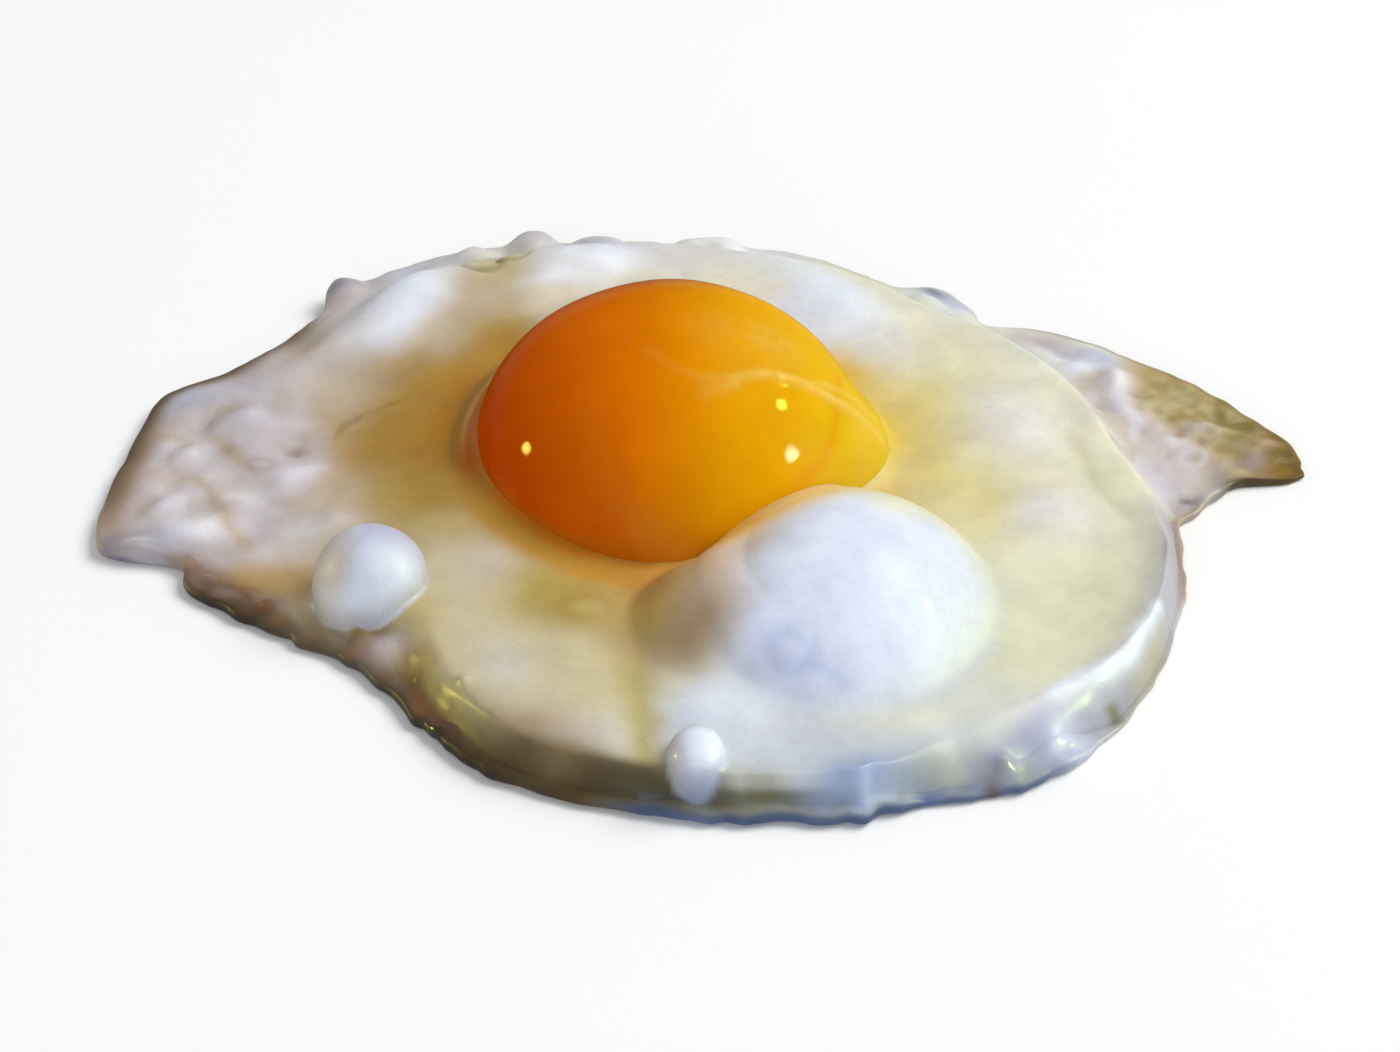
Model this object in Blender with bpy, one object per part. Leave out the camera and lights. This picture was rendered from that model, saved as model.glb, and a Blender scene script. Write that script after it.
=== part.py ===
"""Fried egg, sunny side up: a frilled white with blown bubbles, and the yolk seated in it.

Blender 4.5, metres, +Z up. The egg lies on the plane z = 0, with the origin at the centre of the
underside of its bounding box and +X along its longest side. Outlines and places below are measured
from the yolk's axis, in bearings counted anticlockwise from +X, and main() moves the whole egg so
that its box is centred.
"""

import math
from typing import NamedTuple

import bmesh
import bpy
import numpy as np
from mathutils import Vector

MM = 0.001


class Lobe(NamedTuple):
    """A rounded swell in a polar outline, which falls off by its own spread on each side."""

    bearing: float
    reach: float
    spread_before: float
    spread_after: float


class Bubble(NamedTuple):
    """An ellipsoid blown up out of the white: the height of its top, and how deep its centre sits."""

    x: float
    y: float
    half_long: float
    half_wide: float
    top: float
    centre_height: float
    turn: float


class Outline(NamedTuple):
    """A polar outline: a mean radius, a shift of the whole, and lobes."""

    radius: float
    shift_x: float
    shift_y: float
    lobes: tuple


# ---- driving sizes ---------------------------------------------------------------------------

GAP = 0.3 * MM  # clearance between the yolk and its seat

YOLK_CENTRE = Vector((0.9, 1.0, 3.2)) * MM  # at the yolk's widest level
YOLK_RADIUS = 21.4 * MM
YOLK_TOP = 20.0 * MM
YOLK_BOTTOM = 1.6 * MM
YOLK_TAIL_OFFSET = Vector((12.2, -2.0, 0.0)) * MM  # a low side swell, under the film of white
YOLK_TAIL_HALF = Vector((12.4, 11.5, 8.5)) * MM
YOLK_BLEND = 3.0 * MM

# The outer rim of the thin white.
RIM = Outline(
    49.0 * MM,
    -4.5 * MM,
    -3.5 * MM,
    (
        Lobe(1, 18.0 * MM, 5.5, 23),  # the wing, drawn out to the right
        Lobe(43, 4.5 * MM, 2.5, 3),  # the step at the wing's root
        Lobe(138, 2.7 * MM, 30, 5),  # far left shoulder
        Lobe(168, 3.3 * MM, 5, 9),
        Lobe(194, 9.2 * MM, 26, 5),  # the tail, to the left
        Lobe(229, -8.0 * MM, 18, 18),  # the waist behind the left bubble
        Lobe(318, 15.5 * MM, 40, 65),  # the broad front right
    ),
)

# The edge of the thick white that lies on it.
LIP = Outline(
    47.5 * MM,
    0.8 * MM,
    -4.4 * MM,
    (
        Lobe(42, -3.6 * MM, 13, 50),
        Lobe(228, -12.0 * MM, 50, 23),
        Lobe(287, 5.1 * MM, 50, 13),
        Lobe(328, 10.2 * MM, 31, 28),
    ),
)

THICK_HEIGHT = 4.4 * MM  # top of the thick white above the pan
THICK_HOLLOW = 1.2 * MM  # how much lower it lies against the yolk
HOLLOW_START = 20.0 * MM
HOLLOW_END = 33.0 * MM
APRON_HEIGHT = 1.4 * MM
APRON_MINIMUM = 1.2 * MM  # least width of the thin white that shows past the thick one
LIP_ROUND = 1.8 * MM
LIP_UNDERCUT = 0.9 * MM
LIP_LEAST_STEP = 0.3 * MM
MERGE_BEARING = 184  # to the left the thick white slopes into the tail with no lip
MERGE_SPREAD = 42
MERGE_START = 23.0 * MM
RIM_ROUND = 0.5 * MM
FRILL_DEPTH = 0.55 * MM
FRILL_WAVES = (23, 37, 58)

BUBBLES = {
    "great_dome": Bubble(15.8 * MM, -26.5 * MM, 18.5 * MM, 14.5 * MM, 13.8 * MM, 4.0 * MM, -8),
    "left_bubble": Bubble(-30.5 * MM, -24.9 * MM, 6.1 * MM, 6.1 * MM, 9.8 * MM, 4.6 * MM, 0),
    "front_bubble": Bubble(3.4 * MM, -52.4 * MM, 3.2 * MM, 3.9 * MM, 7.4 * MM, 3.9 * MM, 0),
    "front_ridge": Bubble(5.0 * MM, -45.8 * MM, 4.6 * MM, 3.4 * MM, 6.3 * MM, 3.0 * MM, 60),
    "far_left_swell": Bubble(-31.0 * MM, 31.5 * MM, 8.5 * MM, 5.0 * MM, 6.6 * MM, 2.0 * MM, 38),
    "far_swell": Bubble(-10.5 * MM, 36.5 * MM, 6.0 * MM, 4.0 * MM, 6.4 * MM, 2.5 * MM, 10),
    "far_right_swell": Bubble(20.0 * MM, 29.0 * MM, 8.0 * MM, 5.0 * MM, 6.4 * MM, 2.0 * MM, -35),
    "far_left_bead": Bubble(-37.5 * MM, 34.0 * MM, 3.0 * MM, 2.5 * MM, 4.2 * MM, 1.5 * MM, 40),
    "far_bead_1": Bubble(-17.0 * MM, 42.6 * MM, 3.0 * MM, 2.6 * MM, 4.6 * MM, 1.8 * MM, 0),
    "far_bead_2": Bubble(-8.0 * MM, 42.4 * MM, 4.2 * MM, 2.4 * MM, 4.4 * MM, 1.6 * MM, -5),
}

# ---- mesh resolution -------------------------------------------------------------------------

SEGMENTS = 126
TOP_RINGS = 9
LIP_RINGS = 3
APRON_RINGS = 3
YOLK_SEGMENTS = 40
YOLK_RINGS = 22
DOME_SEGMENTS = 28
BUBBLE_SEGMENTS = 18
DOME_SIZE = 10.0 * MM  # bubbles wider than this are meshed as finely as the great dome


def turn_between(bearing: float, other: float) -> float:
    """The angle from other to bearing, in degrees from -180 to 180."""
    return (bearing - other + 180) % 360 - 180


def outline_radius(outline: Outline, bearing: float) -> float:
    """The outline's radius at a bearing: a shifted circle plus every lobe's Gaussian swell."""
    angle = math.radians(bearing)
    radius = outline.radius + outline.shift_x * math.cos(angle) + outline.shift_y * math.sin(angle)
    for lobe in outline.lobes:
        turn = turn_between(bearing, lobe.bearing)
        spread = lobe.spread_before if turn < 0 else lobe.spread_after
        radius += lobe.reach * math.exp(-((turn / spread) ** 2))
    return radius


def frill(bearing: float) -> float:
    """The rim's small scallops: three waves that never line up."""
    angle = math.radians(bearing)
    waves = [math.sin(count * angle + 1.7 * count) for count in FRILL_WAVES]
    return FRILL_DEPTH * sum(waves) / len(waves)


def rim_radius(bearing: float) -> float:
    return outline_radius(RIM, bearing) + frill(bearing)


def lip_radius(bearing: float) -> float:
    """The thick white's edge, held back so that some thin white shows past it."""
    return min(outline_radius(LIP, bearing), rim_radius(bearing) - APRON_MINIMUM)


def smooth_step(share: float) -> float:
    """Rises from 0 to 1 with level ends as share goes from 0 to 1."""
    held = min(max(share, 0.0), 1.0)
    return held * held * (3 - 2 * held)


def merge(bearing: float) -> float:
    """How far the thick white has lost its lip at a bearing: 1 in the middle of the tail, 0 elsewhere."""
    return math.exp(-((turn_between(bearing, MERGE_BEARING) / MERGE_SPREAD) ** 2))


def top_height(bearing: float, radius: float, lip: float) -> float:
    """The thick white's height: hollowed towards the yolk, and sloping down to the tail on the left."""
    rise = smooth_step((radius - HOLLOW_START) / (HOLLOW_END - HOLLOW_START))
    height = THICK_HEIGHT - THICK_HOLLOW * (1 - rise)
    fall = smooth_step((radius - MERGE_START) / (lip - MERGE_START))
    least = APRON_HEIGHT + LIP_LEAST_STEP
    return height - (height - least) * merge(bearing) * fall


def section(bearing: float) -> list[tuple[float, float]]:
    """(radius, height) of every ring at a bearing, from the yolk's axis out, over the lip and under the rim."""
    lip, rim = lip_radius(bearing), rim_radius(bearing)
    edge_height = top_height(bearing, lip, lip)
    rounding = min(LIP_ROUND, (edge_height - APRON_HEIGHT) * 0.6)
    shoulder = lip - rounding
    radii = [shoulder * ring / TOP_RINGS for ring in range(1, TOP_RINGS + 1)]
    points = [(radius, top_height(bearing, radius, shoulder)) for radius in radii]
    for ring in range(1, LIP_RINGS + 1):
        angle = math.pi / 2 * ring / LIP_RINGS
        drop = rounding * (1 - math.cos(angle))
        points.append((shoulder + rounding * math.sin(angle), edge_height - drop))
    groove = lip - LIP_UNDERCUT * (1 - merge(bearing))
    points.append((groove, APRON_HEIGHT))
    for ring in range(1, APRON_RINGS + 1):
        share = ring / APRON_RINGS
        height = APRON_HEIGHT - RIM_ROUND * share**4
        points.append((groove + (rim - RIM_ROUND - groove) * share, height))
    points.append((rim, APRON_HEIGHT / 2))
    points.append((rim - RIM_ROUND, 0.0))
    return points


def polar_point(bearing: float, radius: float, height: float) -> Vector:
    angle = math.radians(bearing)
    return Vector((radius * math.cos(angle), radius * math.sin(angle), height))


def material(name: str, colour: tuple[float, float, float], roughness: float) -> bpy.types.Material:
    made = bpy.data.materials.new(name)
    made.use_nodes = True
    shader = made.node_tree.nodes["Principled BSDF"]
    shader.inputs["Base Color"].default_value = (*colour, 1.0)
    shader.inputs["Roughness"].default_value = roughness
    shader.inputs["Metallic"].default_value = 0.0
    return made


def object_from(name: str, shape: bmesh.types.BMesh, finish: bpy.types.Material) -> bpy.types.Object:
    """Makes a smooth-shaded object of a bmesh, and frees the bmesh."""
    bmesh.ops.recalc_face_normals(shape, faces=shape.faces)
    mesh = bpy.data.meshes.new(name)
    shape.to_mesh(mesh)
    shape.free()
    mesh.materials.append(finish)
    mesh.shade_smooth()
    made = bpy.data.objects.new(name, mesh)
    bpy.context.scene.collection.objects.link(made)
    return made


def as_cutter(shape: bpy.types.Object) -> bpy.types.Object:
    shape.hide_render = True
    shape.display_type = "WIRE"
    return shape


def white_body(finish: bpy.types.Material) -> bpy.types.Object:
    """The thick white on its thin apron, as rings skinned from the centre out, over the rim and closed below."""
    shape = bmesh.new()
    bearings = [360 * k / SEGMENTS for k in range(SEGMENTS)]
    sections = [section(bearing) for bearing in bearings]
    rings = [
        [shape.verts.new(polar_point(b, *s[ring])) for b, s in zip(bearings, sections)]
        for ring in range(len(sections[0]))
    ]
    for inner, outer in zip(rings, rings[1:]):
        for k in range(SEGMENTS):
            after = (k + 1) % SEGMENTS
            shape.faces.new((inner[k], outer[k], outer[after], inner[after]))
    for ring, height in ((rings[0], THICK_HEIGHT - THICK_HOLLOW), (rings[-1], 0.0)):
        centre = shape.verts.new((0.0, 0.0, height))
        for k in range(SEGMENTS):
            shape.faces.new((ring[k], ring[(k + 1) % SEGMENTS], centre))
    return object_from("egg_white", shape, finish)


def bubble_shape(name: str, bubble: Bubble, finish: bpy.types.Material) -> bpy.types.Object:
    """An ellipsoid, flattened below its centre so that it ends inside the white."""
    shape = bmesh.new()
    segments = DOME_SEGMENTS if bubble.half_long > DOME_SIZE else BUBBLE_SEGMENTS
    bmesh.ops.create_uvsphere(shape, u_segments=segments, v_segments=segments // 2, radius=1.0)
    rise = bubble.top - bubble.centre_height
    sink = bubble.centre_height - 0.5 * MM
    for vertex in shape.verts:
        x, y, z = vertex.co
        vertex.co = (x * bubble.half_long, y * bubble.half_wide, z * (rise if z > 0 else sink))
    made = object_from(name, shape, finish)
    made.location = (bubble.x, bubble.y, bubble.centre_height)
    made.rotation_euler.z = math.radians(bubble.turn)
    return as_cutter(made)


def ellipsoid_reach(direction: Vector, offset: Vector, half: Vector) -> float:
    """How far a ray from the yolk's centre runs before it leaves an ellipsoid, or 0 if it misses."""
    scaled = Vector(d / h for d, h in zip(direction, half))
    away = Vector(o / h for o, h in zip(offset, half))
    a, b, c = scaled.dot(scaled), scaled.dot(away), away.dot(away) - 1
    inside = b * b - a * c
    return max((b + math.sqrt(inside)) / a, 0.0) if inside > 0 else 0.0


def smooth_larger(a: float, b: float, blend: float) -> float:
    """The larger of two lengths, rounded over a band of the given width where they cross."""
    share = max(blend - abs(a - b), 0.0) / blend
    return max(a, b) + share * share * blend / 4


def yolk_reach(direction: Vector) -> float:
    """The yolk's radius along a direction from its widest level: a dome joined to its low side swell."""
    up = YOLK_TOP - YOLK_CENTRE.z
    down = YOLK_CENTRE.z - YOLK_BOTTOM
    dome = Vector((YOLK_RADIUS, YOLK_RADIUS, up if direction.z > 0 else down))
    tail = Vector((YOLK_TAIL_HALF.x, YOLK_TAIL_HALF.y, YOLK_TAIL_HALF.z if direction.z > 0 else down))
    return smooth_larger(
        ellipsoid_reach(direction, Vector((0, 0, 0)), dome),
        ellipsoid_reach(direction, YOLK_TAIL_OFFSET, tail),
        YOLK_BLEND,
    )


def yolk_body(name: str, growth: float, finish: bpy.types.Material) -> bpy.types.Object:
    """The yolk, grown outwards by a clearance when it is used to cut its seat."""
    shape = bmesh.new()
    bmesh.ops.create_uvsphere(shape, u_segments=YOLK_SEGMENTS, v_segments=YOLK_RINGS, radius=1.0)
    for vertex in shape.verts:
        direction = vertex.co.normalized()
        vertex.co = direction * (yolk_reach(direction) + growth)
    made = object_from(name, shape, finish)
    made.location = YOLK_CENTRE
    return made


def apply_boolean(target: bpy.types.Object, other: bpy.types.Object, operation: str) -> None:
    modifier = target.modifiers.new(f"{operation}_{other.name}", "BOOLEAN")
    modifier.object = other
    modifier.operation = operation
    modifier.solver = "EXACT"


def box_centre() -> Vector:
    """The middle of the rim's extent, which main() brings to the origin."""
    points = [polar_point(b, rim_radius(b), 0.0) for b in np.arange(0, 360, 360 / SEGMENTS)]
    xs, ys = [p.x for p in points], [p.y for p in points]
    return Vector(((min(xs) + max(xs)) / 2, (min(ys) + max(ys)) / 2, 0.0))


def main() -> None:
    for old in list(bpy.data.objects):
        bpy.data.objects.remove(old, do_unlink=True)
    white_finish = material("set_white", (0.86, 0.84, 0.79), 0.32)
    yolk_finish = material("yolk_orange", (0.78, 0.24, 0.01), 0.22)
    white = white_body(white_finish)
    yolk = yolk_body("egg_yolk", 0.0, yolk_finish)
    bubbles = [bubble_shape(name, bubble, white_finish) for name, bubble in BUBBLES.items()]
    seat = as_cutter(yolk_body("yolk_seat", GAP, yolk_finish))
    for bubble in bubbles:
        apply_boolean(white, bubble, "UNION")
    apply_boolean(white, seat, "DIFFERENCE")
    centre = box_centre()
    for placed in (white, yolk, seat, *bubbles):
        placed.location -= centre


main()
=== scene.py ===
"""A fried egg, sunny side up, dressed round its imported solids.

The white is one closed surface: rings run from its seat under the yolk out over the thick white, down
its lip, across the thin white to the frilled rim, and back underneath. Domes, bubbles, swells and pits
are added to the rings' heights. The yolk is a second closed surface that rises out of the seat.

Sizes are in millimetres unless a name says otherwise, measured from the yolk's axis, with x to the
right, towards the pointed wing of the white, y away from the great dome, and z up from the pan.
Bearings are in degrees, counted anticlockwise from +x.
"""

import logging
import math
from dataclasses import dataclass, replace
from enum import Enum

import bpy
import numpy as np
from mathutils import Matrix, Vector
from numpy.typing import NDArray


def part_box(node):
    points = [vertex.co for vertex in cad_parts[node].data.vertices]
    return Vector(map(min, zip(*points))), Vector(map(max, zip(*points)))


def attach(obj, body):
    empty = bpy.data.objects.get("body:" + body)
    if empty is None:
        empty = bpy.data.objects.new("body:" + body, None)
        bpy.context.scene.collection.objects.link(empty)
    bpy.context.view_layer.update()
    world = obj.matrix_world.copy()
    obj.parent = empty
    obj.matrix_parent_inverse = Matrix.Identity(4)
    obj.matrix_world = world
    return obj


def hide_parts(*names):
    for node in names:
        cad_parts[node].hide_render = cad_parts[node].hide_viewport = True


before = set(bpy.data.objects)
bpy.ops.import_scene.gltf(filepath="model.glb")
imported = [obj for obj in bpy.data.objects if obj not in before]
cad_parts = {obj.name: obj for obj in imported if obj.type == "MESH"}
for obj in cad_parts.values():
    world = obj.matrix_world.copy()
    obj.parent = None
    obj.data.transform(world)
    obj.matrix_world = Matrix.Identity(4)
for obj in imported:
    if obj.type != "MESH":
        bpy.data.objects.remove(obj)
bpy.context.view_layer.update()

MM = 0.001
Floats = NDArray[np.float64]
Point = tuple[float, float, float]
Socket = bpy.types.NodeSocket

NOISE_RANGE = (0.3, 0.7)  # nearly all of a Noise node's values lie in it
log = logging.getLogger("fried_egg")


# ---- small formulas ----


def turn_between(bearing: Floats, other: float) -> Floats:
    """The angle from other to each bearing, in degrees from -180 to 180."""
    return (bearing - other + 180) % 360 - 180


def smooth_step(share: Floats) -> Floats:
    """Rises from 0 to 1 with level ends: 3 s squared less 2 s cubed, of the share held to 0..1."""
    held = np.clip(share, 0.0, 1.0)
    return held * held * (3 - 2 * held)


@dataclass(frozen=True)
class Ramp:
    """A smooth step from 0 at one value to 1 at another, which may be the smaller one."""

    start: float
    end: float

    def at(self, value: Floats) -> Floats:
        """How far up the ramp each value is, from 0 to 1."""
        return smooth_step((value - self.start) / (self.end - self.start))


def bell(offset: Floats, spread: float) -> Floats:
    """A Gaussian of height 1: e to the minus of offset over spread, squared."""
    return np.exp(-((offset / spread) ** 2))


def side_bell(bearing: Floats, middle: float, before: float, after: float) -> Floats:
    """A Gaussian over bearings, with a spread of its own on each side of its middle.

    Args:
        bearing: bearings in degrees.
        middle: the bearing where it is 1.
        before: spread clockwise of the middle, in degrees.
        after: spread anticlockwise of the middle, in degrees.

    Returns:
        The Gaussian's value at each bearing.
    """
    turn = turn_between(bearing, middle)
    return np.exp(-((turn / np.where(turn < 0, before, after)) ** 2))


def soft_larger(first: Floats, second: Floats, band: float) -> Floats:
    """The larger of two surfaces, rounded over a band where they cross.

    The rounding adds a quarter of the band times the square of how close the two are, as a share
    of the band.

    Args:
        first: heights or radii of one surface.
        second: heights or radii of the other.
        band: how near the two have to be before the rounding starts.

    Returns:
        The joined surface.
    """
    share = np.clip(band - np.abs(first - second), 0.0, None) / band
    return np.maximum(first, second) + share * share * band / 4


def soften(height: Floats, passes: int) -> Floats:
    """Rounds creases by averaging each point with its neighbours, 1 : 2 : 1 both ways, a few times."""
    for _ in range(passes):
        height = (np.roll(height, 1, 1) + 2 * height + np.roll(height, -1, 1)) / 4
        padded = np.concatenate([height[:1], height, height[-1:]])
        height = (padded[:-2] + 2 * padded[1:-1] + padded[2:]) / 4
    return height


@dataclass(frozen=True)
class Ripple:
    """Smooth seeded noise over the plan: random values on a square lattice, joined by smooth steps.

    Attributes:
        cell: the lattice's spacing.
        seed: fixes the random values.
        lattice: how many values lie along each side before they repeat.
    """

    cell: float
    seed: int
    lattice: int = 61

    def at(self, x: Floats, y: Floats) -> Floats:
        """The noise, from -1 to 1, at each point of the plan."""
        values = np.random.default_rng(self.seed).uniform(-1, 1, (self.lattice, self.lattice))
        u, v = x / self.cell + self.lattice, y / self.cell + self.lattice
        i, j = np.floor(u).astype(int), np.floor(v).astype(int)
        s, t = smooth_step(u - i), smooth_step(v - j)
        i0, i1, j0, j1 = (k % self.lattice for k in (i, i + 1, j, j + 1))
        low = values[i0, j0] * (1 - s) + values[i1, j0] * s
        high = values[i0, j1] * (1 - s) + values[i1, j1] * s
        return low * (1 - t) + high * t


@dataclass(frozen=True)
class Grain:
    """Noise of several sizes together, each with its own strength."""

    parts: tuple[tuple[float, Ripple], ...]

    def at(self, x: Floats, y: Floats) -> Floats:
        """The sum of the noises, each times its strength, at each point of the plan."""
        return sum(strength * ripple.at(x, y) for strength, ripple in self.parts)


@dataclass(frozen=True)
class Oval:
    """An oval place on the plan, which every local feature is measured in.

    Attributes:
        x: its middle, to the right of the yolk's axis.
        y: its middle, behind the yolk's axis.
        long: half its length, along its turn.
        wide: half its width.
        turn: the bearing of its long side.
    """

    x: float
    y: float
    long: float
    wide: float
    turn: float = 0.0

    def local(self, x: Floats, y: Floats) -> tuple[Floats, Floats]:
        """Points of the plan along and across the oval, where its edge is 1 away from its middle."""
        cosine, sine = math.cos(math.radians(self.turn)), math.sin(math.radians(self.turn))
        right, back = x - self.x, y - self.y
        return (right * cosine + back * sine) / self.long, (back * cosine - right * sine) / self.wide

    def share(self, x: Floats, y: Floats) -> Floats:
        """How far out each point lies: 0 in the middle of the oval and 1 on its edge."""
        return np.hypot(*self.local(x, y))

    def spot(self, x: Floats, y: Floats) -> Floats:
        """A Gaussian spot of height 1 over the oval."""
        return np.exp(-(self.share(x, y) ** 2))


@dataclass(frozen=True)
class Swell:
    """A soft rise of the white, or a hollow if its height is negative: a Gaussian over an oval."""

    place: Oval
    height: float

    def relief(self, x: Floats, y: Floats) -> Floats:
        """The height it adds at each point."""
        return self.height * self.place.spot(x, y)


@dataclass(frozen=True)
class Bead:
    """A small round-shouldered bubble: its height times (1 - share squared) to a power under 1."""

    place: Oval
    height: float
    power: float = 0.75

    def relief(self, x: Floats, y: Floats) -> Floats:
        """The height it adds at each point."""
        inside = np.clip(1 - self.place.share(x, y) ** 2, 0.0, 1.0)
        return self.height * inside**self.power


def lumps(*rows: tuple[float, ...]) -> tuple[Swell, ...]:
    """Swells, each from its height and then its oval's numbers."""
    return tuple(Swell(Oval(*sizes), height) for height, *sizes in rows)


def bubbles(*rows: tuple[float, ...]) -> tuple[Bead, ...]:
    """Beads, each from its height and then its oval's numbers."""
    return tuple(Bead(Oval(*sizes), height) for height, *sizes in rows)


@dataclass(frozen=True)
class Froth:
    """A seeded scatter of small bubbles and pits over an oval patch.

    Attributes:
        place: the patch; the scatter is even in its middle and ends at its edge.
        count: how many bubbles and pits.
        radius: the smallest and largest radius.
        height: the height of a bubble as a share of its radius.
        pits: the share of them that are hollows.
        seed: fixes the scatter.
    """

    place: Oval
    count: int
    radius: tuple[float, float]
    height: float
    pits: float
    seed: int

    def relief(self, x: Floats, y: Floats) -> Floats:
        """The height that the scatter adds at each point: for each bubble (1 - share squared) squared."""
        chance = np.random.default_rng(self.seed)
        angle = math.radians(self.place.turn)
        spread, around = np.sqrt(chance.uniform(0, 1, self.count)), chance.uniform(0, math.tau, self.count)
        along, across = self.place.long * spread * np.cos(around), self.place.wide * spread * np.sin(around)
        middle_x = self.place.x + along * math.cos(angle) - across * math.sin(angle)
        middle_y = self.place.y + along * math.sin(angle) + across * math.cos(angle)
        low, high = self.radius
        radius = low + (high - low) * chance.uniform(0, 1, self.count) ** 2
        sign = np.where(chance.uniform(0, 1, self.count) < self.pits, -1.0, 1.0)
        total = np.zeros_like(x)
        for cx, cy, r, up in zip(middle_x, middle_y, radius, sign):
            inside = np.clip(1 - ((x - cx) ** 2 + (y - cy) ** 2) / r**2, 0.0, 1.0)
            total += up * self.height * r * inside * inside
        return total


@dataclass(frozen=True)
class Strand:
    """A line drawn over the surface through a few points, used for grooves, creases and wrinkles.

    Attributes:
        points: where it passes, joined by straight runs.
        width: the spread of its Gaussian cross-section.
    """

    points: tuple[tuple[float, ...], ...]
    width: float

    def nearness(self, *coordinates: Floats) -> Floats:
        """A Gaussian of the distance from the line, in the plan or in space.

        Args:
            coordinates: x and y, or x, y and z, of each point.

        Returns:
            1 on the line, falling off over its width.
        """
        spots = np.stack(coordinates, axis=-1)
        line = np.array(self.points)[:, : len(coordinates)]
        nearest = np.full(spots.shape[:-1], np.inf)
        for start, end in zip(line, line[1:]):
            run = end - start
            share = np.clip((spots - start) @ run / (run @ run), 0.0, 1.0)
            nearest = np.minimum(nearest, np.linalg.norm(spots - start - share[..., None] * run, axis=-1))
        return bell(nearest, self.width)


def ringlet(x: float, y: float, long: float, wide: float, width: float, runs: int = 12) -> Strand:
    """A small closed oval line, in straight runs."""
    turns = [math.tau * step / runs for step in range(runs + 1)]
    return Strand(tuple((x + long * math.cos(turn), y + wide * math.sin(turn)) for turn in turns), width)


@dataclass(frozen=True)
class Ridge:
    """A raised line on the white, or a crease if its height is negative."""

    strand: Strand
    height: float

    def relief(self, x: Floats, y: Floats) -> Floats:
        """The height it adds at each point."""
        return self.height * self.strand.nearness(x, y)


# ---- outlines ----


@dataclass(frozen=True)
class Lobe:
    """A rounded swell in an outline, with a spread in degrees on each side of its bearing."""

    bearing: float
    reach: float
    before: float
    after: float

    def swell(self, bearing: Floats) -> Floats:
        """What it adds at each bearing."""
        return self.reach * side_bell(bearing, self.bearing, self.before, self.after)


@dataclass(frozen=True)
class Varying:
    """A size that changes round the egg: its base value, plus a Gaussian swell for each lobe."""

    base: float
    lobes: tuple[Lobe, ...] = ()

    def at(self, bearing: Floats) -> Floats:
        """The size at each bearing."""
        swells = (lobe.swell(bearing) for lobe in self.lobes)
        return self.base + sum(swells, np.zeros_like(bearing))


@dataclass(frozen=True)
class Outline:
    """A shifted circle with lobes, seen from above.

    Attributes:
        radius: the circle's radius, with the swell of each lobe.
        shift_x: how far the circle is shifted to the right.
        shift_y: how far it is shifted back.
    """

    radius: Varying
    shift_x: float
    shift_y: float

    def reach(self, bearing: Floats) -> Floats:
        """The distance from the yolk's axis: radius, plus the shift along each bearing."""
        angle = np.radians(bearing)
        return self.radius.at(bearing) + self.shift_x * np.cos(angle) + self.shift_y * np.sin(angle)


# ---- colours and finishes ----


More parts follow.
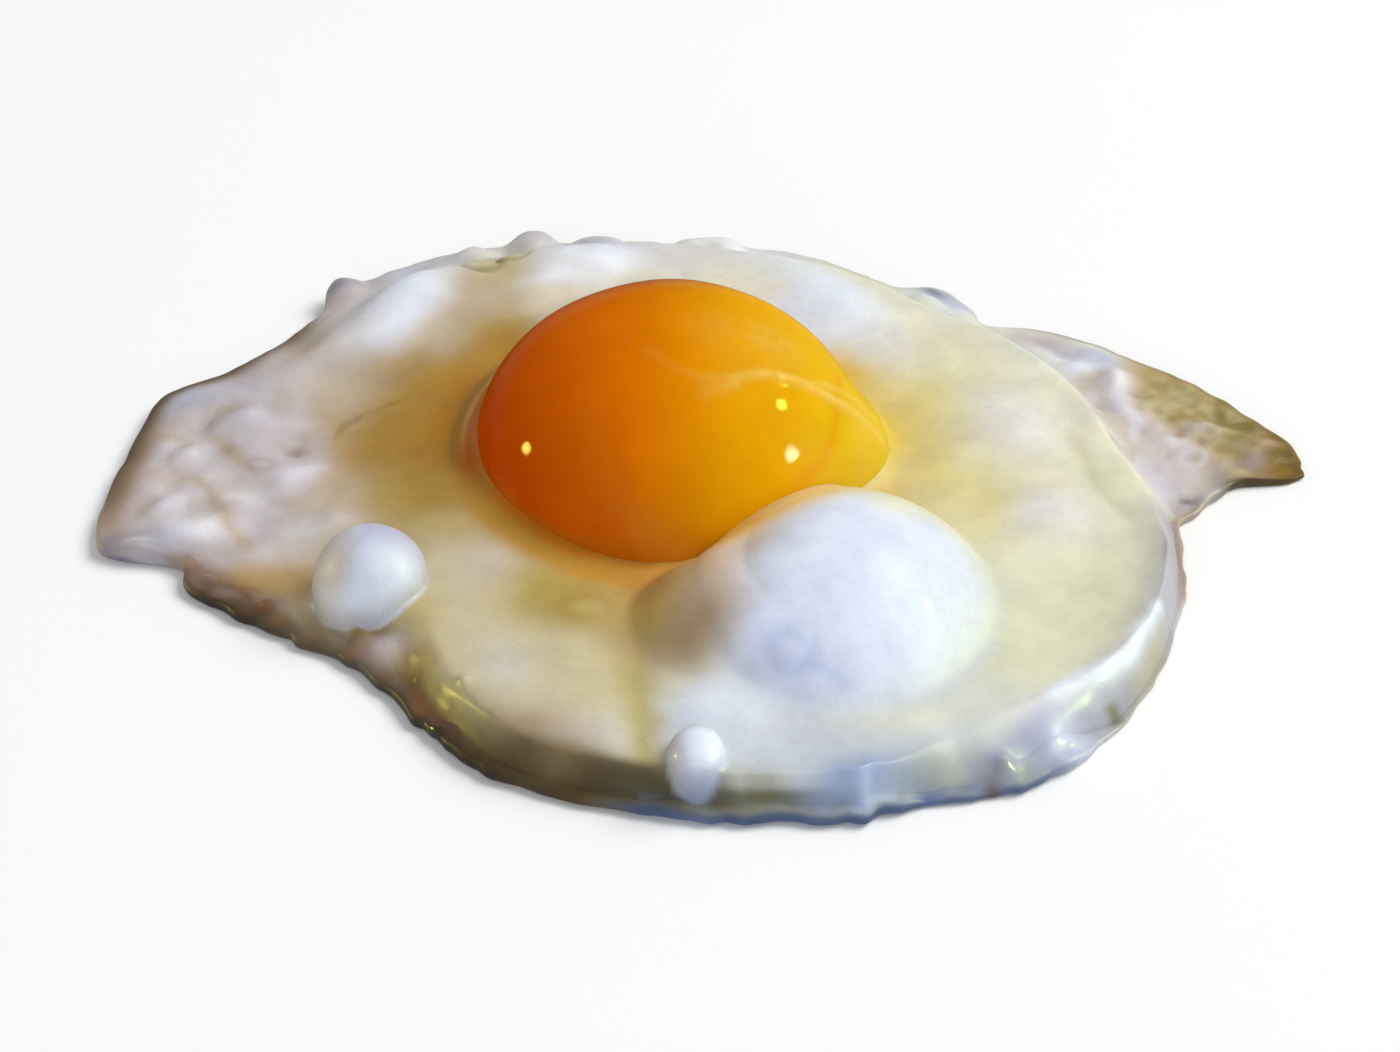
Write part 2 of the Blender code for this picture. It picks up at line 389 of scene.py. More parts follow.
class Tone(Enum):
    """The egg's colours, as they are named on screens, from set white to burnt edge.

    Some of them are painted light and shade: highlights and glints, the yolk's glow on the white,
    the shade under the lip and along the edges, and the lit and shaded sides of the bubbles.
    """

    CREAM = "#dcdac0"
    CREAM_GREEN = "#dbdbbd"
    PALE_CREAM = "#e8e6cd"
    BRIGHT = "#e6eefb"
    DOME = "#dde5f6"
    LILAC = "#c5cde8"
    SOFT_WHITE = "#e2dfdb"
    MILK = "#d8d4d4"
    FROST = "#c8ced8"
    PEARL = "#c4bbba"
    PEARL_LIGHT = "#dcd8e2"
    MAUVE = "#a8989a"
    LAVENDER = "#b8bcd0"
    BEIGE = "#cdc0b4"
    SAND = "#cabf9c"
    STRAW = "#dbce8c"
    GOLD = "#d6b752"
    MENISCUS_HIGHLIGHT = "#cfa25a"
    AMBER = "#c98c2c"
    EMBER = "#b86a18"
    KHAKI = "#b39c55"
    OLIVE = "#a9822f"
    OLIVE_GREY = "#b0985f"
    OLIVE_DARK = "#7d6727"
    TAN = "#b19672"
    UMBER_LIGHT = "#9c7f62"
    BROWN = "#6b5228"
    UMBER = "#5b4636"
    BURNT = "#3d2e1c"
    # painted shade with the blue of a dark pan reflected, for low edges
    NAVY_SHADE_REFLECTION = "#445276"
    SLATE = "#5d6579"
    LIME = "#b4b184"
    MOSS = "#6f6a34"
    TAN_DEEP = "#8c6b4c"
    STRAW_DULL = "#c8b878"
    FOOT_BLUE = "#8e9cb4"
    OLIVE_MIST = "#b0ad88"
    LILAC_DEEP = "#9aa3cc"
    PEACH_GREY = "#c9a695"
    PINK_BROWN = "#96776a"
    SLOPE_OLIVE = "#7c6128"
    GROOVE = "#b8aa72"
    TRIANGLE = "#b08f55"
    BUBBLE = "#b9bdd0"
    BUBBLE_LIT = "#d9e2f0"
    BUBBLE_SHADE = "#c9bbab"
    EDGE_LAVENDER = "#a9abc6"
    RUST = "#8a5524"
    SEAM_AMBER = "#b26a0c"
    SEAM_EMBER = "#b25804"
    OLIVE_GOLD = "#b07d22"
    HONEY = "#c08c3c"
    YOLK_GLOW = "#e6bd62"
    GOLD_BRIGHT = "#e2bd45"
    PALE_SKY = "#dbe0e6"
    PALE_PEACH = "#f0e1c8"
    MILK_LAVENDER = "#c4c0c9"
    KHAKI_PALE = "#baa982"
    PEARL_DIM = "#b4abad"
    UMBER_OLIVE = "#776850"
    SHELL = "#cbbfa8"
    PEARL_MILK = "#ccc4c6"
    NOTCH_GREY = "#857770"
    RIM_BROWN_AND_SHADE = "#4a361a"
    RIM_BLACK = "#262022"
    STEEL = "#66758f"
    # painted shadow under the lip
    UNDER_LIP_SHADOW = "#51432a"
    # painted shade with the blue of a dark pan reflected, on the front foot
    FOOT_SHADE_REFLECTION = "#52699a"
    SKY_BLUE = "#9db2dc"
    # painted light: white lit brighter than the white's own colour
    PAINTED_GLEAM = "#f6f9ff"
    WALL_LAVENDER = "#a3a1ae"
    DOME_YOLK_GLOW = "#bf9a64"
    WING_TIP = "#70531a"
    WING_SHADE = "#7b6440"
    WING_SAND = "#b6a67c"
    SEAM_GLOW = "#cc7408"
    SEAM_GOLD = "#dcae4c"
    SEAM_HONEY = "#be9338"
    # painted shadow under the lip, greener
    UNDER_LIP_SHADOW_MOSS = "#5c5946"
    OLIVE_WARM = "#a87f30"
    OLIVE_AMBER = "#b07616"
    OLIVE_LIGHT = "#ab893c"
    KHAKI_WARM = "#bba468"
    TIP_GREY = "#857b88"
    TAIL_LILAC = "#a4a6b4"
    NOTCH_BROWN = "#6b5541"
    CLOUD = "#c9c5cd"
    CLOUD_DEEP = "#b0a4a6"
    SAND_PAINTED_LIGHT = "#dccaa8"
    FRONT_TAN = "#a58f6c"
    YOLK_GLOW_PALE = "#eaca88"
    FAR_GREY = "#c4c1ca"
    WING_GREY = "#9d9496"
    LIP_SHADE = "#cac6b8"
    YOLK_FILM = "#eccb72"
    YOLK_RIM = "#bd6a10"
    YOLK_BAND = "#de8f06"
    YOLK_DEEP = "#c23c00"
    YOLK_EDGE_SHADE = "#9a4600"
    YOLK_ORANGE = "#d87200"
    YOLK_AMBER = "#dea004"
    YOLK_YELLOW = "#d8be1c"
    YOLK_PALE = "#dab648"

    def linear(self) -> Floats:
        """The colour as linear red, green and blue."""
        parts = np.array([int(self.value[k : k + 2], 16) for k in (1, 3, 5)]) / 255
        return np.where(parts <= 0.04045, parts / 12.92, ((parts + 0.055) / 1.055) ** 2.4)


class Edge(Enum):
    """The outline that a band of colour follows."""

    RIM = "rim"
    LIP = "lip"
    FOOT = "foot"
    YOLK = "yolk"


@dataclass(frozen=True)
class Ground:
    """What the painter needs to know of each point of a surface.

    Attributes:
        x: how far right it is.
        y: how far back it is.
        z: its height.
        bearing: its bearing from the yolk's axis.
        inside: how far it lies inside each outline, measured towards the yolk's axis.
    """

    x: Floats
    y: Floats
    z: Floats
    bearing: Floats
    inside: dict[Edge, Floats]


class Patch:
    """A place to paint, which says how much of each point it covers."""

    def cover(self, ground: Ground) -> Floats:
        """Its share of each point, from 0 to 1."""
        raise NotImplementedError


@dataclass(frozen=True)
class Stain(Patch):
    """A patch over an oval of the plan: strongest in the middle, Gaussian outwards."""

    place: Oval

    def cover(self, ground: Ground) -> Floats:
        """Its share of each point, from 0 to 1."""
        return self.place.spot(ground.x, ground.y)


@dataclass(frozen=True)
class Zone(Patch):
    """An even patch over an oval of the plan, with a soft edge of a given share of its size."""

    place: Oval
    soft: float

    def cover(self, ground: Ground) -> Floats:
        """Its share of each point, from 0 to 1."""
        share = self.place.share(ground.x, ground.y)
        return 1 - smooth_step((share - 1 + self.soft / 2) / self.soft)


@dataclass(frozen=True)
class Ball(Patch):
    """A patch over whatever lies within an oval ball, for a bubble's skin.

    Attributes:
        middle: the ball's middle.
        half: half its size right, back and up.
        soft: the width of its soft edge, as a share of its size.
    """

    middle: Point
    half: Point
    soft: float

    def cover(self, ground: Ground) -> Floats:
        """Its share of each point, from 0 to 1."""
        offsets = zip((ground.x, ground.y, ground.z), self.middle, self.half)
        share = np.sqrt(sum(((at - middle) / half) ** 2 for at, middle, half in offsets))
        return 1 - smooth_step((share - 1 + self.soft / 2) / self.soft)


@dataclass(frozen=True)
class Band(Patch):
    """A band along an outline, over a range of bearings.

    Attributes:
        edge: the outline that it follows.
        inside: how far its middle lies inside that outline.
        width: the spread of its Gaussian cross-section.
        start: the bearing where it starts.
        sweep: how many degrees it runs on for, anticlockwise.
        fade: over how many degrees it fades in and out.
    """

    edge: Edge
    inside: float
    width: float
    start: float
    sweep: float
    fade: float

    def cover(self, ground: Ground) -> Floats:
        """Its share of each point, from 0 to 1."""
        along = (ground.bearing - self.start) % 360
        ends = smooth_step(along / self.fade) * smooth_step((self.sweep - along) / self.fade)
        return ends * bell(ground.inside[self.edge] - self.inside, self.width)


@dataclass(frozen=True)
class Trail(Patch):
    """A line along a strand of the plan."""

    strand: Strand

    def cover(self, ground: Ground) -> Floats:
        """Its share of each point, from 0 to 1."""
        return self.strand.nearness(ground.x, ground.y)


@dataclass(frozen=True)
class Patchy(Patch):
    """A patch broken up by noise, as browning is: it is half there where the noise is at its level."""

    whole: Patch
    ripple: Ripple
    level: float = 0.0
    soft: float = 0.5

    def cover(self, ground: Ground) -> Floats:
        """Its share of each point, from 0 to 1."""
        noise = self.ripple.at(ground.x, ground.y)
        return self.whole.cover(ground) * smooth_step((noise - self.level) / self.soft + 0.5)


@dataclass(frozen=True)
class Beyond(Patch):
    """The part of a patch that lies outside an outline."""

    whole: Patch
    edge: Edge
    soft: float = 1.2

    def cover(self, ground: Ground) -> Floats:
        """Its share of each point, from 0 to 1."""
        return self.whole.cover(ground) * smooth_step(0.5 - ground.inside[self.edge] / self.soft)


@dataclass(frozen=True)
class Within(Patch):
    """The part of a patch that another one covers as well."""

    whole: Patch
    bounds: Patch

    def cover(self, ground: Ground) -> Floats:
        """Its share of each point, from 0 to 1."""
        return self.whole.cover(ground) * self.bounds.cover(ground)


@dataclass(frozen=True)
class Low(Patch):
    """The part of a patch that lies below a height.

    Attributes:
        whole: the patch.
        top: the height it ends at.
        soft: over how much height it fades out, below the top.
    """

    whole: Patch
    top: float
    soft: float

    def cover(self, ground: Ground) -> Floats:
        """Its share of each point, from 0 to 1."""
        return self.whole.cover(ground) * smooth_step((self.top - ground.z) / self.soft)


@dataclass(frozen=True)
class Coat:
    """A tone laid over a patch, at a given strength."""

    tone: Tone
    strength: float
    patch: Patch

    def lay(self, tint: Floats, ground: Ground) -> Floats:
        """Mixes the tone over the colours painted so far."""
        return blend_tone(tint, self.tone, self.strength * self.patch.cover(ground))


@dataclass(frozen=True)
class Shine:
    """How wet, or how frothy, the white is over a patch, from 0 to 1."""

    patch: Patch
    amount: float


def dab(tone: Tone, strength: float, *oval: float) -> Coat:
    """A coat that is strongest in the middle of an oval, which is given by its own sizes in order."""
    return Coat(tone, strength, Stain(Oval(*oval)))


def wash(tone: Tone, strength: float, soft: float, *oval: float) -> Coat:
    """An even coat over an oval, with a soft edge of a given share of its size."""
    return Coat(tone, strength, Zone(Oval(*oval), soft))


def stroke(tone: Tone, strength: float, width: float, *points: tuple[float, float]) -> Coat:
    """A coat along a line through points of the plan."""
    return Coat(tone, strength, Trail(Strand(points, width)))


def ring(tone: Tone, strength: float, *sizes: float) -> Coat:
    """A coat along a small closed oval line, given as in ringlet."""
    return Coat(tone, strength, Trail(ringlet(*sizes)))


def hem(tone: Tone, strength: float, edge: Edge, *sizes: float) -> Coat:
    """A coat along an outline, with a band's sizes in order: inside, width, start, sweep and fade."""
    return Coat(tone, strength, Band(edge, *sizes))


def blend_tone(tint: Floats, tone: Tone, share: Floats) -> Floats:
    """Mixes a tone over colours by a share from 0 to 1 at each point."""
    held = np.clip(share, 0.0, 1.0)[..., None]
    return tint * (1 - held) + tone.linear() * held


def blend_amount(base: float, shines: tuple[Shine, ...], ground: Ground) -> Floats:
    """A number that starts even and is drawn towards each patch's own amount, one after another."""
    total = np.full_like(ground.x, base)
    for shine in shines:
        cover = shine.patch.cover(ground)
        total = total * (1 - cover) + shine.amount * cover
    return total


class NodeBench:
    """Adds and joins shader nodes in one material."""

    def __init__(self, name: str) -> None:
        """Makes the material and finds its Principled shader."""
        self.material = bpy.data.materials.new(name)
        self.material.use_nodes = True
        self.tree = self.material.node_tree
        self.shader = self.tree.nodes["Principled BSDF"]

    def add(self, kind: str, **settings: object) -> bpy.types.Node:
        """Adds a node of a kind and sets its properties."""
        node = self.tree.nodes.new(kind)
        for key, value in settings.items():
            setattr(node, key, value)
        return node

    def join(self, source: Socket, target: Socket) -> None:
        """Links an output to an input."""
        self.tree.links.new(source, target)

    def constants(self, **sockets: object) -> None:
        """Sets the shader's own sockets; an underscore stands for a space."""
        for key, value in sockets.items():
            self.shader.inputs[key.replace("_", " ")].default_value = value

    def noise(self, scale: float, detail: float) -> Socket:
        """Noise on Object coordinates, with a scale per metre; returns its factor output."""
        coordinates = self.add("ShaderNodeTexCoord")
        node = self.add("ShaderNodeTexNoise")
        node.inputs["Scale"].default_value = scale
        node.inputs["Detail"].default_value = detail
        self.join(coordinates.outputs["Object"], node.inputs["Vector"])
        return node.outputs["Fac"]

    def span(self, source: Socket, low: float, high: float) -> Socket:
        """Stretches noise from its usual range to low..high, held at its ends."""
        node = self.add("ShaderNodeMapRange")
        ends = zip(("From Min", "From Max", "To Min", "To Max"), (*NOISE_RANGE, low, high))
        for key, value in ends:
            node.inputs[key].default_value = value
        self.join(source, node.inputs["Value"])
        return node.outputs["Result"]

    def attribute(self, name: str) -> bpy.types.Node:
        """Reads one of the piece's own attributes."""
        return self.add("ShaderNodeAttribute", attribute_name=name)

    def arithmetic(self, operation: str, *values: object) -> Socket:
        """A Math node; each value is a socket or a number."""
        node = self.add("ShaderNodeMath", operation=operation)
        for place, value in enumerate(values):
            if isinstance(value, Socket):
                self.join(value, node.inputs[place])
            else:
                node.inputs[place].default_value = value
        return node.outputs["Value"]

    def mottle(self, colour: Socket, factor: Socket) -> Socket:
        """Multiplies a colour by a grey factor."""
        node = self.add("ShaderNodeVectorMath", operation="SCALE")
        self.join(colour, node.inputs[0])
        self.join(factor, node.inputs["Scale"])
        return node.outputs["Vector"]

    def bump(
        self,
        height: Socket,
        distance: float,
        strength: float,
        under: bpy.types.Node | None = None,
    ) -> bpy.types.Node:
        """A Bump node over a height, optionally on top of another one."""
        node = self.add("ShaderNodeBump")
        node.inputs["Strength"].default_value = strength
        node.inputs["Distance"].default_value = distance
        self.join(height, node.inputs["Height"])
        if under is not None:
            self.join(under.outputs["Normal"], node.inputs["Normal"])
        return node


@dataclass(frozen=True)
class SetWhite:
    """The finish of set egg white: painted tint, faint mottle, frothy fine bump and a wet coat.

    Attributes:
        glow: how much light goes into the white and comes out again.
        depth_m: how far it goes, in metres.
        roughness: the duller and the wetter end of its gloss.
        uneven: how much its roughness varies either way, over patches of a few millimetres.
        coat: strength of the wet film where the white is wettest.
        coat_roughness: how sharp the film's reflections are.
        cloud: how much the mottle of a few millimetres darkens and lightens it.
        grain: the same for the fine mottle.
        froth_m: the height of the froth's bubbles, in metres.
        fine_m: the height of the finest unevenness, in metres.
    """

    glow: float = 0.35
    depth_m: float = 0.0022
    roughness: tuple[float, float] = (0.5, 0.2)
    uneven: float = 0.05
    coat: float = 0.5
    coat_roughness: float = 0.07
    cloud: tuple[float, float] = (0.95, 1.04)
    grain: tuple[float, float] = (0.97, 1.03)
    froth_m: float = 0.0007
    fine_m: float = 0.0001

    def make(self) -> bpy.types.Material:
        """Builds the material. It reads the piece's tint, wet and frothy attributes."""
        bench = NodeBench("set_white_dressed")
        bench.constants(
            Metallic=0.0,
            IOR=1.38,
            Subsurface_Weight=self.glow,
            Subsurface_Radius=(1.0, 0.8, 0.6),
            Subsurface_Scale=self.depth_m,
            Coat_Roughness=self.coat_roughness,
            Coat_IOR=1.36,
            Specular_IOR_Level=0.2,
        )
        tint, wet, frothy = (bench.attribute(name) for name in ("tint", "wet", "frothy"))
        cloud = bench.span(bench.noise(170.0, 4.0), *self.cloud)
        grain = bench.span(bench.noise(1300.0, 3.0), *self.grain)
        shade = bench.arithmetic("MULTIPLY", cloud, grain)
        bench.join(bench.mottle(tint.outputs["Color"], shade), bench.shader.inputs["Base Color"])
        dull, glossy = self.roughness
        wetness = bench.arithmetic("MULTIPLY_ADD", wet.outputs["Fac"], glossy - dull, dull)
        film = bench.arithmetic("MULTIPLY", wet.outputs["Fac"], self.coat)
        bench.join(film, bench.shader.inputs["Coat Weight"])
        patchy = bench.span(bench.noise(420.0, 2.0), -self.uneven, self.uneven)
        bench.join(bench.arithmetic("ADD", wetness, patchy), bench.shader.inputs["Roughness"])
        froth = bench.arithmetic("MULTIPLY", bench.noise(480.0, 3.0), frothy.outputs["Fac"])
        fine = bench.bump(bench.noise(900.0, 3.0), self.fine_m, 0.12)
        coarse = bench.bump(froth, self.froth_m, 0.4, fine)
        bench.join(coarse.outputs["Normal"], bench.shader.inputs["Normal"])
        return bench.material


@dataclass(frozen=True)
class YolkSkin:
    """The finish of a soft yolk: painted tint, light glowing through, and a tight wet skin.

    Attributes:
        glow: how much light goes into the yolk and comes out again.
        depth_m: how far it goes, in metres.
        roughness: of the yolk itself.
        coat: strength of its wet skin.
        coat_roughness: how sharp the skin's reflections are.
        cloud: how much the mottle darkens and lightens it.
        threads: how far the film of white over it thins out between its threads, and thickens.
        soft_m: the height of its soft unevenness, in metres.
        fine_m: the height of its fine unevenness, in metres.
    """

    glow: float = 0.25
    depth_m: float = 0.004
    roughness: float = 0.35
    coat: float = 0.07
    coat_roughness: float = 0.035
    cloud: tuple[float, float] = (0.95, 1.05)
    threads: tuple[float, float] = (0.35, 1.0)
    soft_m: float = 0.0004
    fine_m: float = 0.0001

    def make(self) -> bpy.types.Material:
        """Builds the material. It reads the piece's tint and film attributes."""
        bench = NodeBench("yolk_orange_dressed")
        bench.constants(
            Metallic=0.0,
            IOR=1.36,
            Roughness=self.roughness,
            Subsurface_Weight=self.glow,
            Subsurface_Radius=(1.0, 0.35, 0.06),
            Subsurface_Scale=self.depth_m,
            Coat_Weight=self.coat,
            Coat_Roughness=self.coat_roughness,
            Coat_IOR=1.36,
            Specular_IOR_Level=0.0,
        )
        tint, film = bench.attribute("tint"), bench.attribute("film")
        cloud = bench.span(bench.noise(190.0, 4.0), *self.cloud)
        threads = bench.span(bench.noise(700.0, 5.0), *self.threads)
        veil = bench.add("ShaderNodeMix", data_type="RGBA")
        bench.join(bench.arithmetic("MULTIPLY", film.outputs["Fac"], threads), veil.inputs["Factor"])
        bench.join(bench.mottle(tint.outputs["Color"], cloud), veil.inputs["A"])
        veil.inputs["B"].default_value = (*Tone.YOLK_FILM.linear(), 1.0)
        bench.join(veil.outputs["Result"], bench.shader.inputs["Base Color"])
        soft = bench.bump(bench.noise(160.0, 2.0), self.soft_m, 0.10)
        fine = bench.bump(bench.noise(1100.0, 3.0), self.fine_m, 0.08, soft)
        bench.join(fine.outputs["Normal"], bench.shader.inputs["Normal"])
        return bench.material


# ---- meshes ----


@dataclass(frozen=True)
class Place:
    """Where the yolk's axis stands in the row's frame, in metres."""

    x: float
    y: float

    @classmethod
    def of_yolk(cls, from_left: float = 20.5, before_middle: float = 1.0) -> "Place":
        """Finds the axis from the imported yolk's box: so far in from its left, and before its middle."""
        low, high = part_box("egg_yolk")
        return cls(low[0] + from_left * MM, (low[1] + high[1]) / 2 - before_middle * MM)

    def to_row(self, points: Floats) -> Floats:
        """Millimetres from the yolk's axis, as metres in the row's frame."""
        return points * MM + np.array([self.x, self.y, 0.0])


@dataclass
class Shell:
    """A closed surface of rings round an axis, with a pole at each end.

    Attributes:
        rings: points of shape (rings, around, 3), each ring anticlockwise, top ring first.
        poles: the points that close the first ring and the last one.
    """

    rings: Floats
    poles: tuple[Floats, Floats]

    def faces(self) -> list[tuple[int, ...]]:
        """Quads between neighbouring rings and a fan of triangles at each pole, all facing outwards."""
        count, around = self.rings.shape[:2]
        here = np.arange(around)
        after = (here + 1) % around
        start = np.arange(count - 1)[:, None] * around
        quads = np.stack([start + here, start + around + here, start + around + after, start + after], -1)
        first, last = count * around, count * around + 1
        base = (count - 1) * around
        top = np.stack([np.full(around, first), here, after], -1)
        bottom = np.stack([np.full(around, last), base + after, base + here], -1)
        return quads.reshape(-1, 4).tolist() + top.tolist() + bottom.tolist()

    def points(self) -> Floats:
        """Every point in one list: the rings in order, then the two poles."""
        return np.concatenate([self.rings.reshape(-1, 3), np.stack(self.poles)])

    def object(
        self, name: str, place: Place, material: bpy.types.Material, paint: dict[str, Floats]
    ) -> bpy.types.Object:
        """Puts the surface into the scene.

        Args:
            name: the object's name.
            place: where the yolk's axis stands.
            material: its finish.
            paint: attributes by name: one number, or a colour of three, for every point.

        Returns:
            The smooth-shaded object, at the origin.
        """
        mesh = bpy.data.meshes.new(name)
        mesh.from_pydata(place.to_row(self.points()).tolist(), [], self.faces())
        mesh.polygons.foreach_set("use_smooth", np.ones(len(mesh.polygons), dtype=bool))
        for key, values in paint.items():
            if values.ndim == 2:
                colours = np.concatenate([values, np.ones((len(values), 1))], axis=1)
                layer = mesh.color_attributes.new(name=key, type="FLOAT_COLOR", domain="POINT")
                layer.data.foreach_set("color", colours.ravel())
            else:
                layer = mesh.attributes.new(name=key, type="FLOAT", domain="POINT")
                layer.data.foreach_set("value", values)
        mesh.materials.append(material)
        mesh.validate()
        mesh.update()
        made = bpy.data.objects.new(name, mesh)
        bpy.context.scene.collection.objects.link(made)
        return made


# ---- the yolk ----


@dataclass(frozen=True)
class YolkForm:
    """The yolk: a dome of round plan that slumps into a low tail on the right, under a film of white.

    Attributes:
        centre: the middle of its widest level.
        radius: the dome's radius at that level.
        top: the height of its top.
        bottom: the height of its underside.
        tail: the tail's middle, from the yolk's centre.
        tail_half: the tail's half length, half width and height above the widest level.
        join: how softly the tail meets the dome.
        around: points round each ring.
        rows: rings from top to bottom.
        last_level: how near the poles the rings go, in degrees up or down from the widest level.
        folds: the lines where the film of white is folded.
        film_height: how far the folds stand up.
        folded: from where to where, to the right, the folds rise to their full height.
        least_fold: their height before that, as a share.
        lumps: the noise of its soft lumps.
        lump_height: the height of those.
    """

    centre: Point = (0.9, 0.7, 3.2)
    radius: float = 21.8
    top: float = 20.0
    bottom: float = 1.6
    tail: tuple[float, float] = (12.2, -2.0)
    tail_half: Point = (12.4, 11.5, 8.5)
    join: float = 3.0
    around: int = 300
    rows: int = 150
    last_level: float = 88.8
    folds: tuple[Strand, ...] = (
        Strand(((-1.5, -4.2, 19.3), (1.5, -6.8, 18.8), (4.4, -8.2, 18.2), (7.9, -7.2, 17.9)), 0.7),
        Strand(((7.9, -7.2, 17.9), (10.8, -5.6, 17.2), (12.9, -5.0, 16.4), (15.9, -4.2, 14.8)), 0.7),
        Strand(((15.9, -4.2, 14.8), (17.7, -4.0, 13.3), (20.4, -2.6, 10.6), (22.6, -3.2, 8.3)), 0.7),
        Strand(((22.6, -3.2, 8.3), (24.2, -3.6, 6.2)), 0.7),
        Strand(((4.6, -9.4, 17.6), (7.6, -7.8, 17.8)), 1.0),
        Strand(((15.9, -4.2, 14.8), (18.3, -1.9, 12.8), (20.6, -0.5, 10.5), (23.5, -1.5, 7.3)), 0.5),
        Strand(((-18.4, -8.6, 6.6), (-17.2, -10.8, 6.2), (-15.6, -13.0, 5.6)), 0.6),
    )
    film_height: float = 0.28
    folded: Ramp = Ramp(1.0, 10.0)
    least_fold: float = 0.25
    lumps: Ripple = Ripple(9.0, 5)
    lump_height: float = 0.16

    def slice_reach(self, bearing: Floats, height: Floats) -> Floats:
        """The yolk's radius about its own centre, at bearings and heights.

        The dome's slice is a circle that shrinks as an ellipse does with height. The tail's slice is
        an oval off to one side, and a ray from the centre leaves it at the larger root of its
        equation. The two are joined by the rounded larger of them.

        Args:
            bearing: bearings about the yolk's centre.
            height: heights above the pan.

        Returns:
            The radius at each.
        """
        lift = height - self.centre[2]
        rise, fall = self.top - self.centre[2], self.centre[2] - self.bottom
        dome = self.radius * np.sqrt(np.clip(1 - (lift / np.where(lift > 0, rise, fall)) ** 2, 0, 1))
        shrink = np.sqrt(np.clip(1 - (lift / np.where(lift > 0, self.tail_half[2], fall)) ** 2, 1e-9, 1))
        angle = np.radians(bearing)
        half_x, half_y = self.tail_half[0] * shrink, self.tail_half[1] * shrink
        ux, uy = np.cos(angle) / half_x, np.sin(angle) / half_y
        ox, oy = self.tail[0] / half_x, self.tail[1] / half_y
        a, b, c = ux * ux + uy * uy, ux * ox + uy * oy, ox * ox + oy * oy - 1
        root = b * b - a * c
        tail = np.where(root > 0, (b + np.sqrt(np.clip(root, 0, None))) / a, 0.0)
        return soft_larger(dome, np.clip(tail, 0, None), self.join)

    def edge(self, bearing: Floats, height: Floats, inset: float) -> tuple[Floats, Floats]:
        """Points on the yolk's side, a little inside its surface, as x and y from the yolk's axis."""
        reach = self.slice_reach(bearing, height) - inset
        angle = np.radians(bearing)
        return self.centre[0] + reach * np.cos(angle), self.centre[1] + reach * np.sin(angle)

    def film(self, x: Floats, y: Floats, z: Floats) -> Floats:
        """The nearness to the closest fold of the film over the yolk: 1 on a fold, 0 away from them."""
        return np.max([fold.nearness(x, y, z) for fold in self.folds], axis=0)

    def shell(self) -> Shell:
        """The whole yolk: rings at heights that follow an ellipse, with the film's folds raised on it."""
        level = np.radians(np.linspace(self.last_level, -self.last_level, self.rows))[:, None]
        bearing = np.linspace(0, 360, self.around, endpoint=False)[None, :]
        rise, fall = self.top - self.centre[2], self.centre[2] - self.bottom
        height = self.centre[2] + np.where(level > 0, rise, fall) * np.sin(level) + 0 * bearing
        reach = self.slice_reach(bearing + 0 * level, height)
        x = self.centre[0] + reach * np.cos(np.radians(bearing))
        y = self.centre[1] + reach * np.sin(np.radians(bearing))
        lump = self.lump_height * self.lumps.at(x + height, y - height) * (height > self.centre[2] - 0.5)
        grown = self.least_fold + (1 - self.least_fold) * self.folded.at(x)
        raised = self.film_height * self.film(x, y, height) * grown + lump
        steep = np.cos(level)
        x = x + raised * steep * np.cos(np.radians(bearing))
        y = y + raised * steep * np.sin(np.radians(bearing))
        z = height + raised * np.sin(level)
        poles = (np.array([*self.centre[:2], self.top]), np.array([*self.centre[:2], self.bottom]))
        return Shell(np.stack([x, y, z], axis=-1), poles)


